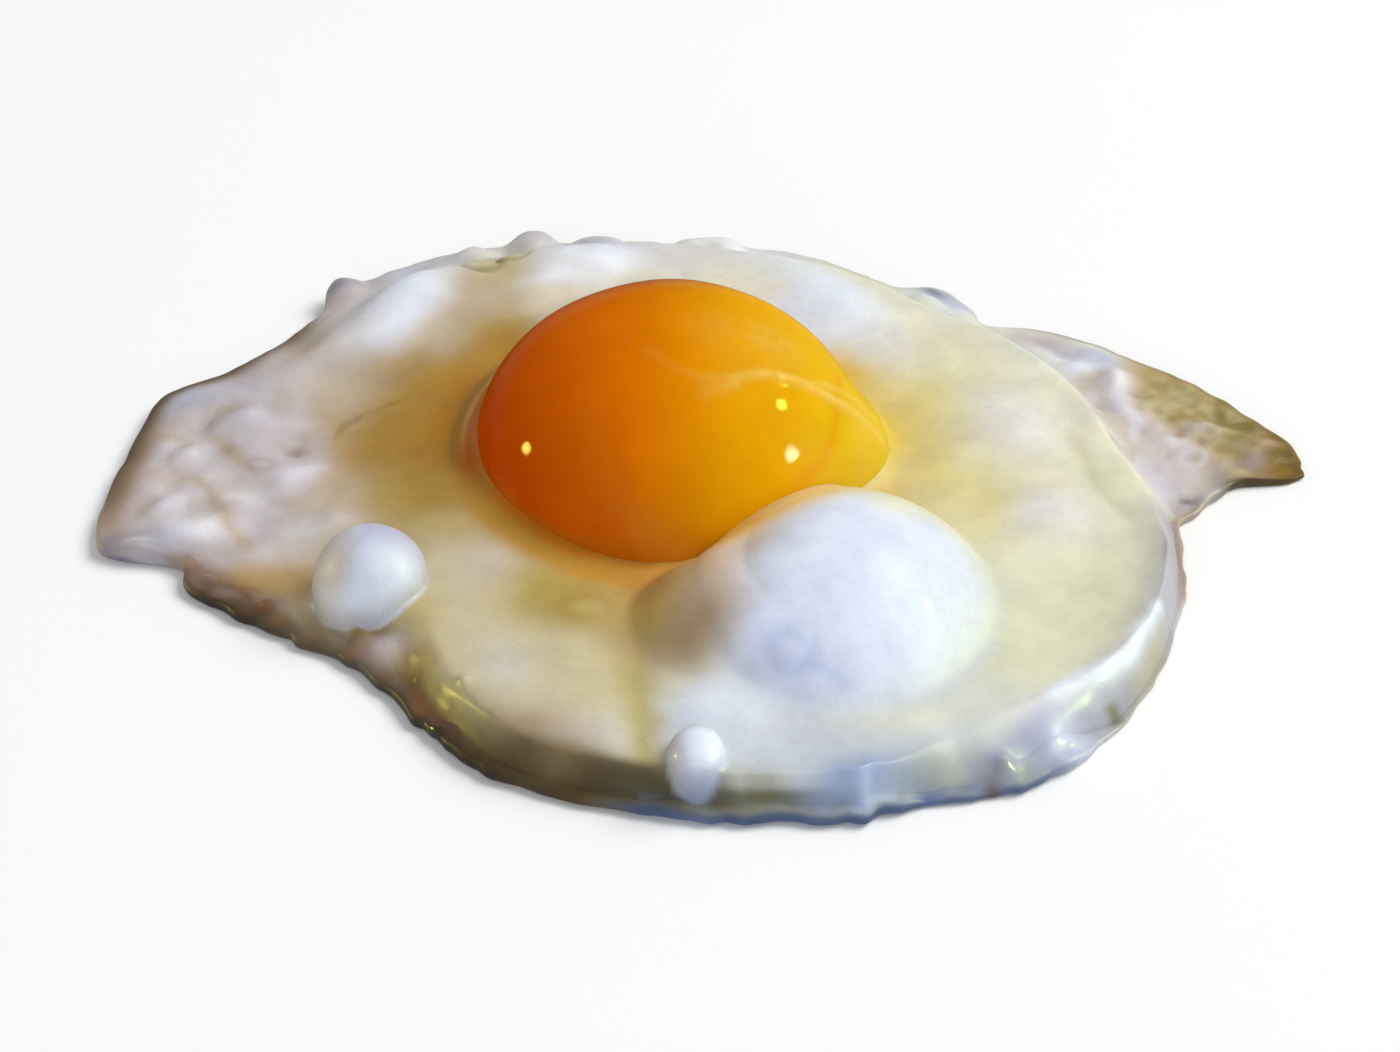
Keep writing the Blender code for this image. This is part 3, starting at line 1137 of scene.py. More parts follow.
@dataclass(frozen=True)
class Yolk:
    """The yolk with its colours and skin.

    Attributes:
        form: its shape.
        finish: its skin.
        shades: the tones that it runs through from left to right, each with the span of x, as a share
        of the radius, over which it comes in, and its strength; the run is partly painted light
        from the right.
        brow: the height of the deep rim of painted shade along the far side, at its ends and how much
            more behind.
        brow_fade: how far below the brow the shade is at its full strength, and then at half of it.
        far: the bearings that the painted shade covers, and its strength.
        low_rim: the heights over which the paler rim at the front left comes in.
        front_left: the bearings that it covers, and its strength.
        tail: the spans of x and of y over which the pale tail comes in.
        ball_edge: the faint line where the dome meets the tail.
        veil: the noise of the thin film of white, and its strength.
        veiled: from where to where, to the right, that film comes in.
        thick_film: from where to where, to the right, the folds' film gets its full strength.
        fold_film: how white the folds are before that, and how much more after it.
        cloud: the faint cloud on the dome, partly film and partly painted sheen round its glints: how far
        right, its spread and its strength.
    """

    form: YolkForm
    finish: YolkSkin = YolkSkin()
    shades: tuple[tuple[Tone, Ramp, float], ...] = (
        (Tone.YOLK_DEEP, Ramp(0.15, -0.95), 0.95),
        (Tone.YOLK_AMBER, Ramp(-0.28, 0.57), 1.0),
        (Tone.YOLK_YELLOW, Ramp(0.45, 1.2), 0.8),
    )
    brow: tuple[float, float] = (9.4, 10.6)
    brow_fade: tuple[Ramp, Ramp] = (Ramp(0.0, 3.2), Ramp(4.0, 10.0))
    far: Lobe = Lobe(102, 0.85, 74, 60)
    low_rim: Ramp = Ramp(6.8, 4.2)
    front_left: Lobe = Lobe(232, 0.8, 40, 36)
    tail: tuple[Ramp, Ramp] = (Ramp(19.4, 22.4), Ramp(3.0, -2.0))
    ball_edge: Strand = Strand(
        (
            (19.6, 1.5, 11.6),
            (19.0, -1.5, 12.0),
            (19.0, -5.0, 11.0),
            (18.7, -8.0, 10.4),
            (17.7, -11.0, 9.4),
            (14.4, -14.6, 9.0),
        ),
        0.8,
    )
    veil: tuple[Ripple, float] = (Ripple(6.5, 51), 0.09)
    veiled: Ramp = Ramp(-10.0, 0.0)
    thick_film: Ramp = Ramp(2.0, 12.0)
    fold_film: tuple[float, float] = (0.05, 0.6)
    cloud: Point = (12.0, 3.4, 0.25)

    def paint(self, points: Floats) -> dict[str, Floats]:
        """Colours run from deep orange on the left to yellow on the right and in the tail.

        The run is partly painted light from the right, and the top is lighter as painted light from
        above; a deep orange rim of painted shade runs along the far side.
        """
        x, y, z = points.T
        across = (x - self.form.centre[0]) / self.form.radius
        upward = (z - self.form.centre[2]) / (self.form.top - self.form.centre[2])
        bearing = np.degrees(np.arctan2(y, x)) % 360
        tint = np.broadcast_to(Tone.YOLK_ORANGE.linear(), points.shape).copy()
        for tone, span, strength in self.shades:
            # painted light: the deep orange is weaker higher up, so the yolk's top is lighter
            painted_light_above = 0.3 * upward if tone is Tone.YOLK_DEEP else 0.0
            tint = blend_tone(tint, tone, span.at(across) * (strength - painted_light_above))
        low = self.low_rim.at(z) * self.front_left.swell(bearing)
        tint = blend_tone(tint, Tone.YOLK_RIM, low)
        # painted shade: a deep orange rim along the far side, below the top
        drop = self.brow[0] + self.brow[1] * np.clip(np.sin(np.radians(bearing)), 0, 1) ** 0.62 - z
        full, half = self.brow_fade
        behind = self.far.swell(bearing) * full.at(drop) * (1 - 0.5 * half.at(drop))
        tint = blend_tone(tint, Tone.YOLK_EDGE_SHADE, behind)
        across_tail, back_tail = self.tail
        tint = blend_tone(tint, Tone.YOLK_PALE, 0.35 * across_tail.at(x) * back_tail.at(y))
        tint = blend_tone(tint, Tone.YOLK_BAND, 0.5 * self.ball_edge.nearness(x, y, z))
        noise, strength = self.veil
        veil = strength * smooth_step(noise.at(x + z, y - z) + 0.3) * self.veiled.at(x)
        thin, more = self.fold_film
        folds = self.form.film(x, y, z) * (thin + more * self.thick_film.at(x))
        # partly painted sheen: a pale cloud of film round the glints on the right of the dome
        right, spread, white = self.cloud
        cloud = white * bell(np.hypot(x - right, y), spread)
        return {"tint": tint, "film": np.max([folds, veil, cloud], axis=0)}

    def build(self, place: Place) -> bpy.types.Object:
        """Builds the yolk in its place."""
        shell = self.form.shell()
        return shell.object("yolk", place, self.finish.make(), self.paint(shell.points()))


# ---- the white ----


@dataclass(frozen=True)
class Balloon:
    """A bubble blown so full that it bulges past its own foot.

    Points of the plan within its edge are moved onto an ellipsoid cap: their share of the way out
    becomes an angle down from its top, so that sine gives how far out they lie, and cosine how high
    between the white they stood on and the top.

    Attributes:
        place: its greatest width.
        top: the height of its top.
        fullness: the angle from its top to its foot; past 90 degrees it overhangs.
        edge: the share of the way out where its foot is gathered from.
        ease: over how much more the plan around it is stretched to fill in.
    """

    place: Oval
    top: float
    fullness: float = 97.0
    edge: float = 1.12
    ease: float = 0.9

    def swell(self, x: Floats, y: Floats, z: Floats) -> tuple[Floats, Floats, Floats]:
        """Moves the surface's points onto the bubble.

        Args:
            x: how far right each point is.
            y: how far back it is.
            z: its height.

        Returns:
            The moved points.
        """
        share = self.place.share(x, y)
        full = math.radians(self.fullness)
        angle = full * np.clip(share / self.edge, 0, 1)
        beyond = share - (self.edge - math.sin(full)) * (1 - smooth_step((share - self.edge) / self.ease))
        scale = np.where(share < self.edge, np.sin(angle), beyond) / np.clip(share, 1e-6, None)
        cap = (np.cos(angle) - math.cos(full)) / (1 - math.cos(full))
        middle_x, middle_y = self.place.x, self.place.y
        height = z + cap * (self.top - z)
        return middle_x + (x - middle_x) * scale, middle_y + (y - middle_y) * scale, height


@dataclass(frozen=True)
class Dome:
    """A blister with one steep side, where it stands against the yolk, and one that fades away.

    Its height over the white is (1 - share squared) to a power. The power is under 1, as in an
    ellipsoid, on the steep side, and over 1, as in a soft hill, on the other side.

    Attributes:
        place: its plan, before its soft side is drawn out.
        top: the height of its top.
        soft_bearing: the direction of its soft side, from its middle.
        powers: the power on the steep side and on the soft one.
        drawn_out: how much longer the soft side is.
    """

    place: Oval
    top: float
    soft_bearing: float
    powers: tuple[float, float]
    drawn_out: float

    def over(self, x: Floats, y: Floats, z: Floats) -> Floats:
        """The white's height with the blister on it."""
        way = np.arctan2(y - self.place.y, x - self.place.x) - math.radians(self.soft_bearing)
        soft = (1 + np.cos(way)) / 2
        share = self.place.share(x, y) / (1 + self.drawn_out * soft)
        power = self.powers[0] * (1 - soft) + self.powers[1] * soft
        cap = np.clip(1 - share**2, 0, 1) ** power
        return z + cap * np.clip(self.top - z, 0, None)


@dataclass(frozen=True)
class WhiteForm:
    """The plain shape of the white: its outlines and heights, and how finely it is meshed.

    Attributes:
        yolk: the yolk that it holds.
        rim: the outline of the whole.
        lip: the outline of the thick white's shoulder.
        thick: the height of the thick white.
        seat: the same against the yolk, where it starts out.
        settle: how far from the yolk it reaches its full height.
        crest: how much higher it creeps up the yolk's side.
        meniscus: over how little that falls off.
        sink: how far it slopes down to the thin white before its lip.
        wall: how wide the lip's slope is.
        roll: the height of the roll along the lip.
        apron: the height of the thin white.
        least_apron: the least width of thin white past the shoulder.
        frill: how far the rim is frilled.
        frill_grain: the noise of the frill.
        lip_grain: the noise that the shoulder wanders by.
        rounded: where the edge rolls over like a quarter circle, from 0 to 1.
        rim_half: how far the rim bulges past the last ring of the top.
        around: points round each ring.
        seat_rings: rings under the yolk.
        top_rings: rings from the yolk to the shoulder.
        wall_rings: rings down the lip's slope.
        apron_rings: rings over the thin white.
        rim_rings: rings round the rim.
        under_rings: rings underneath.
    """

    yolk: YolkForm
    rim: Outline = Outline(
        Varying(
            49.0,
            (
                Lobe(1, 18.0, 6.0, 23),  # the wing
                Lobe(351.8, 1.9, 2.0, 2.5),
                Lobe(46.3, 2.6, 7.0, 3.2),  # the step at its root
                Lobe(35.3, -2.0, 2.6, 2.6),
                Lobe(358.6, 1.9, 2.3, 0.8),
                Lobe(357.1, -3.4, 1.5, 0.4),  # the notch under its tip
                Lobe(353.6, -0.5, 3.4, 1.6),
                Lobe(297, -0.7, 7, 5),
                Lobe(8, -0.9, 4, 4),
                Lobe(22, 0.7, 5, 6),
                Lobe(29, 1.4, 5, 5),
                Lobe(71, 1.9, 12, 10),
                Lobe(138, 2.7, 30, 5),
                Lobe(168, 3.3, 5, 9),
                Lobe(194, 8.7, 26, 3.5),  # the tail
                Lobe(203.6, 2.0, 2.6, 3.5),
                Lobe(215.5, -0.8, 3, 3),
                Lobe(221, 0.9, 6, 7),
                Lobe(274, 0.5, 3.5, 3.5),
                Lobe(289.5, 1.0, 1.2, 1.0),
                Lobe(307, 0.8, 6, 8),
                Lobe(229, -8.0, 18, 18),  # the waist
                Lobe(318, 15.5, 40, 65),  # the broad front right
            ),
        ),
        -4.5,
        -3.5,
    )
    lip: Outline = Outline(
        Varying(
            47.5,
            (
                Lobe(42, -3.6, 13, 50),
                Lobe(228, -12.0, 50, 23),
                Lobe(287, 5.1, 50, 13),
                Lobe(328, 10.2, 31, 28),
            ),
        ),
        0.8,
        -4.4,
    )
    thick: Varying = Varying(4.4)
    seat: Varying = Varying(3.5, (Lobe(207, 1.0, 30, 35), Lobe(262, -0.5, 20, 25), Lobe(350, 0.6, 45, 45)))
    settle: float = 9.0
    crest: Varying = Varying(0.7, (Lobe(162, 3.4, 34, 26), Lobe(30, 0.6, 40, 30)))
    meniscus: Varying = Varying(0.85, (Lobe(158, 1.0, 26, 28),))
    sink: Varying = Varying(0.0, (Lobe(172, 1.0, 38, 46),))
    wall: Varying = Varying(2.7, (Lobe(245, 1.6, 20, 14), Lobe(172, 6.5, 42, 38)))
    roll: Varying = Varying(0.12, (Lobe(326, 0.8, 30, 20),))
    apron: Varying = Varying(
        1.35, (Lobe(190, 0.35, 30, 20), Lobe(322, -0.75, 14, 18), Lobe(358, -0.55, 6, 9))
    )
    least_apron: float = 1.6
    frill: Varying = Varying(
        0.3, (Lobe(228, 0.45, 18, 24), Lobe(285, 0.3, 20, 26), Lobe(172, -0.2, 20, 20))
    )
    frill_grain: Grain = Grain(((0.7, Ripple(4.2, 41)), (0.6, Ripple(1.7, 42))))
    lip_grain: Grain = Grain(((0.45, Ripple(8.0, 43)),))
    rounded: Varying = Varying(0.0, (Lobe(322, 1.0, 16, 22),))
    rim_half: float = 0.35
    around: int = 700
    seat_rings: int = 5
    top_rings: int = 66
    wall_rings: int = 17
    apron_rings: int = 34
    rim_rings: int = 6
    under_rings: int = 6

    def bearings(self) -> Floats:
        """Bearings that part the rim into nearly even lengths, so that long lobes get their share."""
        fine = np.linspace(0, 360, 7201)
        reach = self.rim.reach(fine)
        x, y = reach * np.cos(np.radians(fine)), reach * np.sin(np.radians(fine))
        run = np.concatenate([[0], np.cumsum(np.hypot(np.diff(x), np.diff(y)))])
        even = 0.75 * run / run[-1] + 0.25 * fine / 360
        return np.interp(np.arange(self.around) / self.around, even, fine)

    def rim_reach(self, bearing: Floats) -> Floats:
        """The rim with its frill: noise of two sizes, read along the plain rim."""
        reach, angle = self.rim.reach(bearing), np.radians(bearing)
        x, y = reach * np.cos(angle), reach * np.sin(angle)
        return reach + self.frill.at(bearing) * self.frill_grain.at(x, y)

    def lip_reach(self, bearing: Floats) -> Floats:
        """The thick white's shoulder, held back so that some thin white shows past it."""
        reach, angle = self.lip.reach(bearing), np.radians(bearing)
        wander = self.lip_grain.at(reach * np.cos(angle), reach * np.sin(angle))
        return np.minimum(reach + wander, self.rim.reach(bearing) - self.least_apron)

    def foot_reach(self, bearing: Floats) -> Floats:
        """Where the lip's slope has come down to the thin white."""
        ledge = 0.9 - 0.5 * self.rounded.at(bearing)
        spare = np.minimum(self.rim.reach(bearing) - ledge - 0.3, self.rim_reach(bearing) - 0.25)
        return np.minimum(self.lip_reach(bearing) + self.wall.at(bearing), spare)

    def contact(self, bearing: Floats) -> Floats:
        """The height at which the white meets the yolk."""
        return self.seat.at(bearing) + self.crest.at(bearing)

    def height(self, x: Floats, y: Floats, off: Floats) -> Floats:
        """The plain white's height.

        It starts high against the yolk, falls off within a few millimetres, rises to the thick
        white's full height, sinks towards the tail, and falls by a smooth step from the lip to its
        foot. Where the edge is rounded it falls by a quarter circle instead. A roll follows the lip.

        Args:
            x: how far right each point is.
            y: how far back it is.
            off: its distance from the yolk.

        Returns:
            The heights.
        """
        reach, bearing = np.hypot(x, y), np.degrees(np.arctan2(y, x)) % 360
        lip, foot, thin = self.lip_reach(bearing), self.foot_reach(bearing), self.apron.at(bearing)
        eased = smooth_step(off / self.settle)
        full = self.seat.at(bearing) * (1 - eased) + self.thick.at(bearing) * eased
        out = smooth_step(off / np.clip(lip - reach + off, 4, None))
        full = full - (full - thin - 0.3) * self.sink.at(bearing) * out
        share, rounded = np.clip((reach - lip + 0.9) / (foot - lip + 0.9), 0, 1), self.rounded.at(bearing)
        slope = smooth_step(share) * (1 - rounded) + (1 - np.sqrt(1 - share * share)) * rounded
        flat = thin + (full - thin) * (1 - slope)
        roll = self.roll.at(bearing) * bell(reach - lip + 1.5, 1.5)
        return flat + roll + self.crest.at(bearing) * np.exp(-off / self.meniscus.at(bearing))

    def top(self, bearing: Floats) -> tuple[Floats, Floats, Floats]:
        """The rings of the top, from the yolk to the rim.

        Each bearing's points run straight from the yolk's side to the lip, then outwards over the
        slope and the thin white.

        Args:
            bearing: the bearing of each column of points.

        Returns:
            How far right, how far back, and how far from the yolk each point is.
        """
        angle = np.radians(bearing)
        way = np.stack([np.cos(angle), np.sin(angle)])
        touch = np.stack(self.yolk.edge(bearing, self.contact(bearing), 0.05))
        shoulder = way * (self.lip_reach(bearing) - 1.0)
        foot = way * self.foot_reach(bearing)
        rim = way * (self.rim_reach(bearing) - self.rim_half)
        stages = (
            (touch, shoulder, self.top_rings, 1.3),
            (shoulder, foot, self.wall_rings, 1.0),
            (foot, rim, self.apron_rings, 1.0),
        )
        rows = [touch[:, None]]
        for start, end, count, crowding in stages:
            part = np.linspace(0, 1, count + 1)[1:, None] ** crowding
            rows.append(start[:, None] * (1 - part) + end[:, None] * part)
        x, y = np.concatenate(rows, axis=1)
        return x, y, np.hypot(x - touch[0], y - touch[1])


# places and lines that the relief and the paint share
LEFT_BUBBLE = Oval(-30.5, -24.3, 6.1, 5.9)
FRONT_BUBBLE = Oval(3.9, -52.4, 2.85, 3.15)
RIGHT_CREASE = ((45.5, 1), (47, -4), (48.2, -9), (50.3, -14))
DOME_SCAR = ((15.7, -40.6), (17.8, -41.6), (19.7, -42.4))
WING_WRINKLE = ((53.2, 16.4), (52.2, 13), (52.6, 9.8), (54.2, 7.4))

EGG_PAINT: tuple[Coat, ...] = (
    # the plateau on the right
    wash(Tone.CREAM_GREEN, 0.9, 1, 41, -29, 12, 22, -28),
    dab(Tone.STRAW, 0.85, 30.5, 6, 5.5, 11, -8),
    dab(Tone.STRAW, 0.9, 32, -8, 8, 6, -25),
    dab(Tone.STRAW, 0.8, 26.5, -14, 4, 4.5),
    dab(Tone.STRAW, 0.7, 35, -15.5, 2.8, 3.6),
    dab(Tone.GOLD, 0.85, 25, 3, 4, 7),
    dab(Tone.GOLD, 0.5, 22.5, 14, 3, 6, 25),
    wash(Tone.BRIGHT, 1, 1.1, 18.5, 25.5, 9.5, 5.5, -48),
    dab(Tone.BRIGHT, 0.6, 14.5, 36, 6.5, 5, -15),
    dab(Tone.SOFT_WHITE, 0.7, 26, 19, 6, 4, -50),
    dab(Tone.SOFT_WHITE, 1, 40, 3, 4.6, 6.6),
    dab(Tone.SOFT_WHITE, 1, 41.5, -14, 5.5, 4.8),
    dab(Tone.FROST, 0.55, 44, 17, 6, 3.2, -60),
    dab(Tone.SOFT_WHITE, 0.5, 33, 24, 4, 3, -40),
    dab(Tone.CREAM_GREEN, 0.6, 50, -2, 2.5, 9, 8),
    stroke(Tone.LIME, 0.35, 0.9, *RIGHT_CREASE),
    dab(Tone.PALE_CREAM, 0.7, 46, 8, 5, 9, 10),
    stroke(Tone.LIME, 0.35, 2, (45.5, -26), (47.5, -30), (44.5, -34.5)),
    dab(Tone.PALE_CREAM, 0.4, 37, -24, 5, 4),
    # behind the yolk
    wash(Tone.MILK, 0.8, 1, 0, 38.5, 17, 4.6, -2),
    dab(Tone.FROST, 0.6, -7, 41, 6, 2.2, 2),
    wash(Tone.BRIGHT, 1, 1, -12, 35.5, 6.6, 4.6, 28),
    dab(Tone.PALE_CREAM, 0.6, 9, 34, 5, 2.5, -20),
    dab(Tone.MILK_LAVENDER, 0.85, -9.5, 41.8, 5.5, 2.6),
    dab(Tone.BRIGHT, 0.8, -10, 33.2, 5, 3.2, 20),
    dab(Tone.PALE_PEACH, 0.8, 12.5, 29.5, 4.6, 2.6, -15),
    dab(Tone.SHELL, 0.5, -3, 31.5, 6, 2),
    dab(Tone.PALE_SKY, 0.8, 12, 41.5, 6.5, 2.6, -8),
    dab(Tone.PALE_SKY, 0.9, 33.5, 31.5, 6.5, 3.6, -42),
    dab(Tone.BRIGHT, 0.7, 20, 25.5, 5, 4, -45),
    # painted light on the far swell's slope
    dab(Tone.PAINTED_GLEAM, 0.95, -11, 34.4, 5.6, 4, 20),
    dab(Tone.PALE_SKY, 0.8, 12, 44, 6.5, 2.6, -8),
    # the left: olive and clear near the yolk, then pearl
    wash(Tone.PEARL, 0.9, 0.9, -36, 14, 27, 26),
    wash(Tone.PEARL, 1, 0.5, -50, -2, 17, 26),
    wash(Tone.TAN, 0.7, 1, -35, 1, 8.5, 19, -4),
    wash(Tone.OLIVE, 0.95, 1.1, -26, 3.5, 10.5, 22, -4),
    dab(Tone.OLIVE_GOLD, 0.9, -23.5, 3, 4.5, 14, -4),
    dab(Tone.KHAKI, 0.8, -25, -10.5, 4.5, 4, -20),
    dab(Tone.KHAKI, 0.9, -18.5, 24.5, 7.5, 3.2, 50),
    dab(Tone.OLIVE, 0.9, -19, 18, 4, 5),
    dab(Tone.KHAKI, 0.9, -24.5, -13.5, 5.5, 4.5, -20),
    wash(Tone.BRIGHT, 1, 0.9, -31.5, 29, 10, 5.4, 66),
    dab(Tone.MILK, 0.8, -36.5, 23.5, 4.5, 2.6, 50),
    dab(Tone.PEARL, 0.7, -36.5, 29.5, 2.2, 5, -25),
    dab(Tone.TAN, 0.55, -24.5, 31, 4, 4.2, 60),
    dab(Tone.KHAKI, 0.55, -19.5, 35.5, 5, 4.6, 70),
    dab(Tone.BEIGE, 0.6, -14, 29, 4.5, 2.5, 40),
    dab(Tone.TAN, 0.6, -43.5, 21.5, 4.4, 2.8, 45),
    stroke(Tone.OLIVE_DARK, 0.55, 0.6, (-37, 4), (-36.2, 5.9), (-34.6, 7.4)),
    stroke(Tone.OLIVE_DARK, 0.35, 0.5, (-34.6, 7.4), (-32.4, 8.6), (-29.8, 10.2)),
    dab(Tone.KHAKI, 0.5, -36.8, 2, 1.3, 2.6, -10),
    dab(Tone.KHAKI_PALE, 0.75, -19.5, 33.2, 3.8, 3.4, 50),
    dab(Tone.PEARL_DIM, 0.8, -29, 38.8, 4.8, 2.6, 30),
    dab(Tone.PEARL_DIM, 0.85, -37.8, 33.6, 3.6, 3.4, 45),
    dab(Tone.UMBER_OLIVE, 0.85, -44.2, 26.5, 3.4, 2.8, 45),
    dab(Tone.SHELL, 0.75, -26, 22.5, 5, 4.4, 40),
    dab(Tone.SHELL, 0.6, -37, 12, 4.4, 5),
    dab(Tone.SHELL, 0.6, -34.5, -8.5, 4.4, 4.4),
    dab(Tone.SHELL, 0.7, -14.5, 27.5, 4.6, 2.6, 30),
    dab(Tone.MILK_LAVENDER, 0.7, -24, 40, 4, 2.6, 20),
    ring(Tone.MOSS, 0.5, -22.7, 36, 2.6, 1.8, 0.5),
    ring(Tone.MOSS, 0.4, -19.3, 38.4, 2, 1.5, 0.45),
    # the tail's cloudy whites, and browner hollows between them
    wash(Tone.TRIANGLE, 0.9, 0.9, -39.6, -23.8, 8.6, 5, -28),
    dab(Tone.RUST, 0.7, -44.5, -24.5, 6.5, 2.2, -34),
    dab(Tone.PEARL_MILK, 0.8, -42, -14.5, 7.5, 3.4, 8),
    dab(Tone.PEARL_MILK, 0.6, -47, 3, 5.4, 7),
    dab(Tone.PEARL_MILK, 0.6, -44, -3, 4.6, 5),
    dab(Tone.PEARL_DIM, 0.7, -48, 17.5, 4, 3, 45),
    dab(Tone.NOTCH_GREY, 0.75, -52.2, -18, 3.4, 1.8, -25),
    # painted light on the lit top of the tail lump
    dab(Tone.BRIGHT, 0.85, -50.7, -13.2, 3, 2.6, 30),
    dab(Tone.MILK, 0.9, -46.5, -9.1, 3.6, 2.8),
    dab(Tone.PEARL_LIGHT, 0.85, -41.3, -4.3, 2.6, 3.2),
    dab(Tone.MILK, 0.75, -38, -14.6, 4.6, 1.8, 22),
    dab(Tone.PEARL_LIGHT, 0.7, -54.4, -9, 2.2, 3.2, -35),
    dab(Tone.FROST, 0.9, -55.8, -16.6, 2.8, 1.6, 10),
    dab(Tone.LAVENDER, 0.6, -47.4, 6.5, 3.4, 3),
    dab(Tone.LAVENDER, 0.8, -54, 9.9, 3.2, 2, 25),
    dab(Tone.PEARL_LIGHT, 0.6, -56.2, 1.6, 2, 1.8),
    dab(Tone.PEARL_LIGHT, 0.5, -53, 0.4, 2.4, 1.8, 20),
    dab(Tone.MILK, 0.4, -46, 15, 4.6, 2.6, 45),
    dab(Tone.CLOUD, 0.6, -46.5, -10.5, 5, 4),
    dab(Tone.CLOUD, 0.6, -46.5, 2.5, 4.4, 6),
    dab(Tone.LAVENDER, 0.8, -52.5, 12.8, 4.6, 2.8, 35),
    dab(Tone.CLOUD_DEEP, 0.8, -50, 16.8, 3.2, 2.4, 45),
    dab(Tone.TAIL_LILAC, 0.75, -54.4, -16.6, 3.4, 2, 10),
    dab(Tone.TIP_GREY, 0.95, -60, -16.6, 3.6, 2.6, 10),
    dab(Tone.CLOUD_DEEP, 0.7, -50, -16.6, 4.2, 1.7, 10),
    dab(Tone.NOTCH_BROWN, 0.95, -51.4, -20.6, 3.4, 2.2, -30),
    # painted light on the lit side of the same tail lump
    dab(Tone.PAINTED_GLEAM, 0.75, -50.9, -13, 2.4, 2, 30),
    dab(Tone.NOTCH_BROWN, 0.8, -47.6, -24, 3.4, 2, -35),
    stroke(Tone.TAN_DEEP, 0.45, 1.6, (-52.8, 5.8), (-51.4, 7.3), (-49, 9.9)),
    Coat(Tone.TAN, 0.35, Patchy(Zone(Oval(-50, -2, 12, 18), 0.5), Ripple(3.2, 61), 0.3, 1.2)),
    Coat(Tone.PEARL_LIGHT, 0.5, Patchy(Zone(Oval(-50, -4, 12, 16), 0.5), Ripple(2.8, 62), 0.4, 1.2)),
    stroke(Tone.TAN_DEEP, 0.35, 0.9, (-55.3, -0.6), (-53.9, 1.6)),
    stroke(Tone.TAN, 0.55, 0.9, (-51, 4), (-49.1, 1.6), (-47, -1), (-45.4, -3.4)),
    stroke(Tone.TAN, 0.5, 0.9, (-52.5, -4), (-50, -6.6), (-47.5, -13), (-44.5, -15.6)),
    stroke(Tone.TAN_DEEP, 0.35, 1, (-57.4, -11.4), (-56.6, -8.4)),
    ring(Tone.MAUVE, 0.5, -45, -2, 1.2, 1, 0.6),
    dab(Tone.UMBER_LIGHT, 0.4, -49.1, 1.4, 1.4, 1.1),
    dab(Tone.TAN_DEEP, 0.5, -42, 1.2, 1, 0.9),
    dab(Tone.MAUVE, 0.8, -39.8, -26.6, 2.6, 1.6, -25),
    dab(Tone.PINK_BROWN, 0.6, -48.9, -21.9, 2.2, 1.2, -20),
    wash(Tone.STRAW_DULL, 0.9, 0.9, -34.6, -28.2, 4.2, 3.4, -40),
    dab(Tone.MOSS, 0.8, -32.2, -31.4, 1.6, 1.3),
    # the front left
    wash(Tone.SAND, 0.95, 1, -18, -22, 12, 10, -60),
    wash(Tone.SAND, 1, 0.8, -12, -38, 16, 11, -70),
    dab(Tone.BEIGE, 0.9, -18.8, -21, 3.6, 5, 20),
    dab(Tone.SAND, 0.6, -18.5, -27, 3.6, 5, 10),
    dab(Tone.KHAKI, 0.55, -24.5, -29.5, 2.2, 5, 20),
    dab(Tone.BEIGE, 0.9, -9, -49.5, 7, 3, -8),
    dab(Tone.MILK, 0.5, -15.5, -39.5, 3, 5, 20),
    wash(Tone.KHAKI, 1, 1, -6.5, -27, 8.6, 6.6, -14),
    dab(Tone.KHAKI, 0.5, -12, -30, 4, 3),
    ring(Tone.OLIVE, 0.35, -7, -29.8, 2.8, 2.2, 0.9),
    dab(Tone.STRAW_DULL, 0.5, -7, -29.8, 1.9, 1.6),
    # the front right
    wash(Tone.FROST, 0.95, 0.9, 17, -47.5, 19, 7.5, 4),
    stroke(Tone.GROOVE, 0.95, 2.2, (-2.6, -26), (-2.8, -34), (-2.2, -41), (-1.4, -47), (-0.4, -53)),
    dab(Tone.PALE_CREAM, 0.7, 27, -45.5, 9, 3, 8),
    dab(Tone.BRIGHT, 0.9, 5, -45.5, 4.5, 3, 60),
    # painted reflection: blue on the front foot
    dab(Tone.FOOT_BLUE, 0.6, 20.5, -54, 4, 2.4),
    dab(Tone.SLATE, 0.8, 26.6, -54.4, 0.8, 0.7),
    # the great dome, with painted shade on its left flank and the yolk's painted glow beside the yolk
    wash(Tone.DOME, 1, 0.5, 18.5, -30, 15, 14, -10),
    dab(Tone.LILAC, 0.7, 12.5, -40, 6, 3.4, -25),
    dab(Tone.FROST, 0.4, 31, -30, 3.5, 9),
    dab(Tone.BEIGE, 0.9, 10, -25.5, 5, 2.6, 32),
    # painted shade on the dome's left flank, warmed brown by light from the yolk
    wash(Tone.TAN, 0.75, 1.1, 1.6, -32.5, 6.4, 7, 60),
    dab(Tone.UMBER_LIGHT, 0.75, 2.8, -36.2, 4.6, 4.4, -35),
    dab(Tone.KHAKI, 0.8, -1.6, -30.5, 2.6, 4.6, 10),
    ring(Tone.LILAC_DEEP, 0.3, 13.6, -39.4, 2.1, 1.7, 0.7),
    stroke(Tone.LILAC_DEEP, 0.35, 0.7, *DOME_SCAR),
    # painted glow: the yolk's orange cast on the white beside it
    hem(Tone.AMBER, 0.75, Edge.YOLK, -0.4, 1.1, 270, 70, 20),
    hem(Tone.YOLK_GLOW, 0.9, Edge.YOLK, -2.2, 2.3, 268, 84, 18),
    # painted glow of the yolk on the dome's upper left
    dab(Tone.DOME_YOLK_GLOW, 0.75, 4, -26.5, 4.2, 3.4, 20),
    dab(Tone.HONEY, 0.5, -0.4, -28, 3.4, 4.4),
    dab(Tone.STRAW, 0.95, 24.2, -15.4, 4.6, 4),
    dab(Tone.PALE_CREAM, 0.8, 24.5, -20, 3, 2.6),
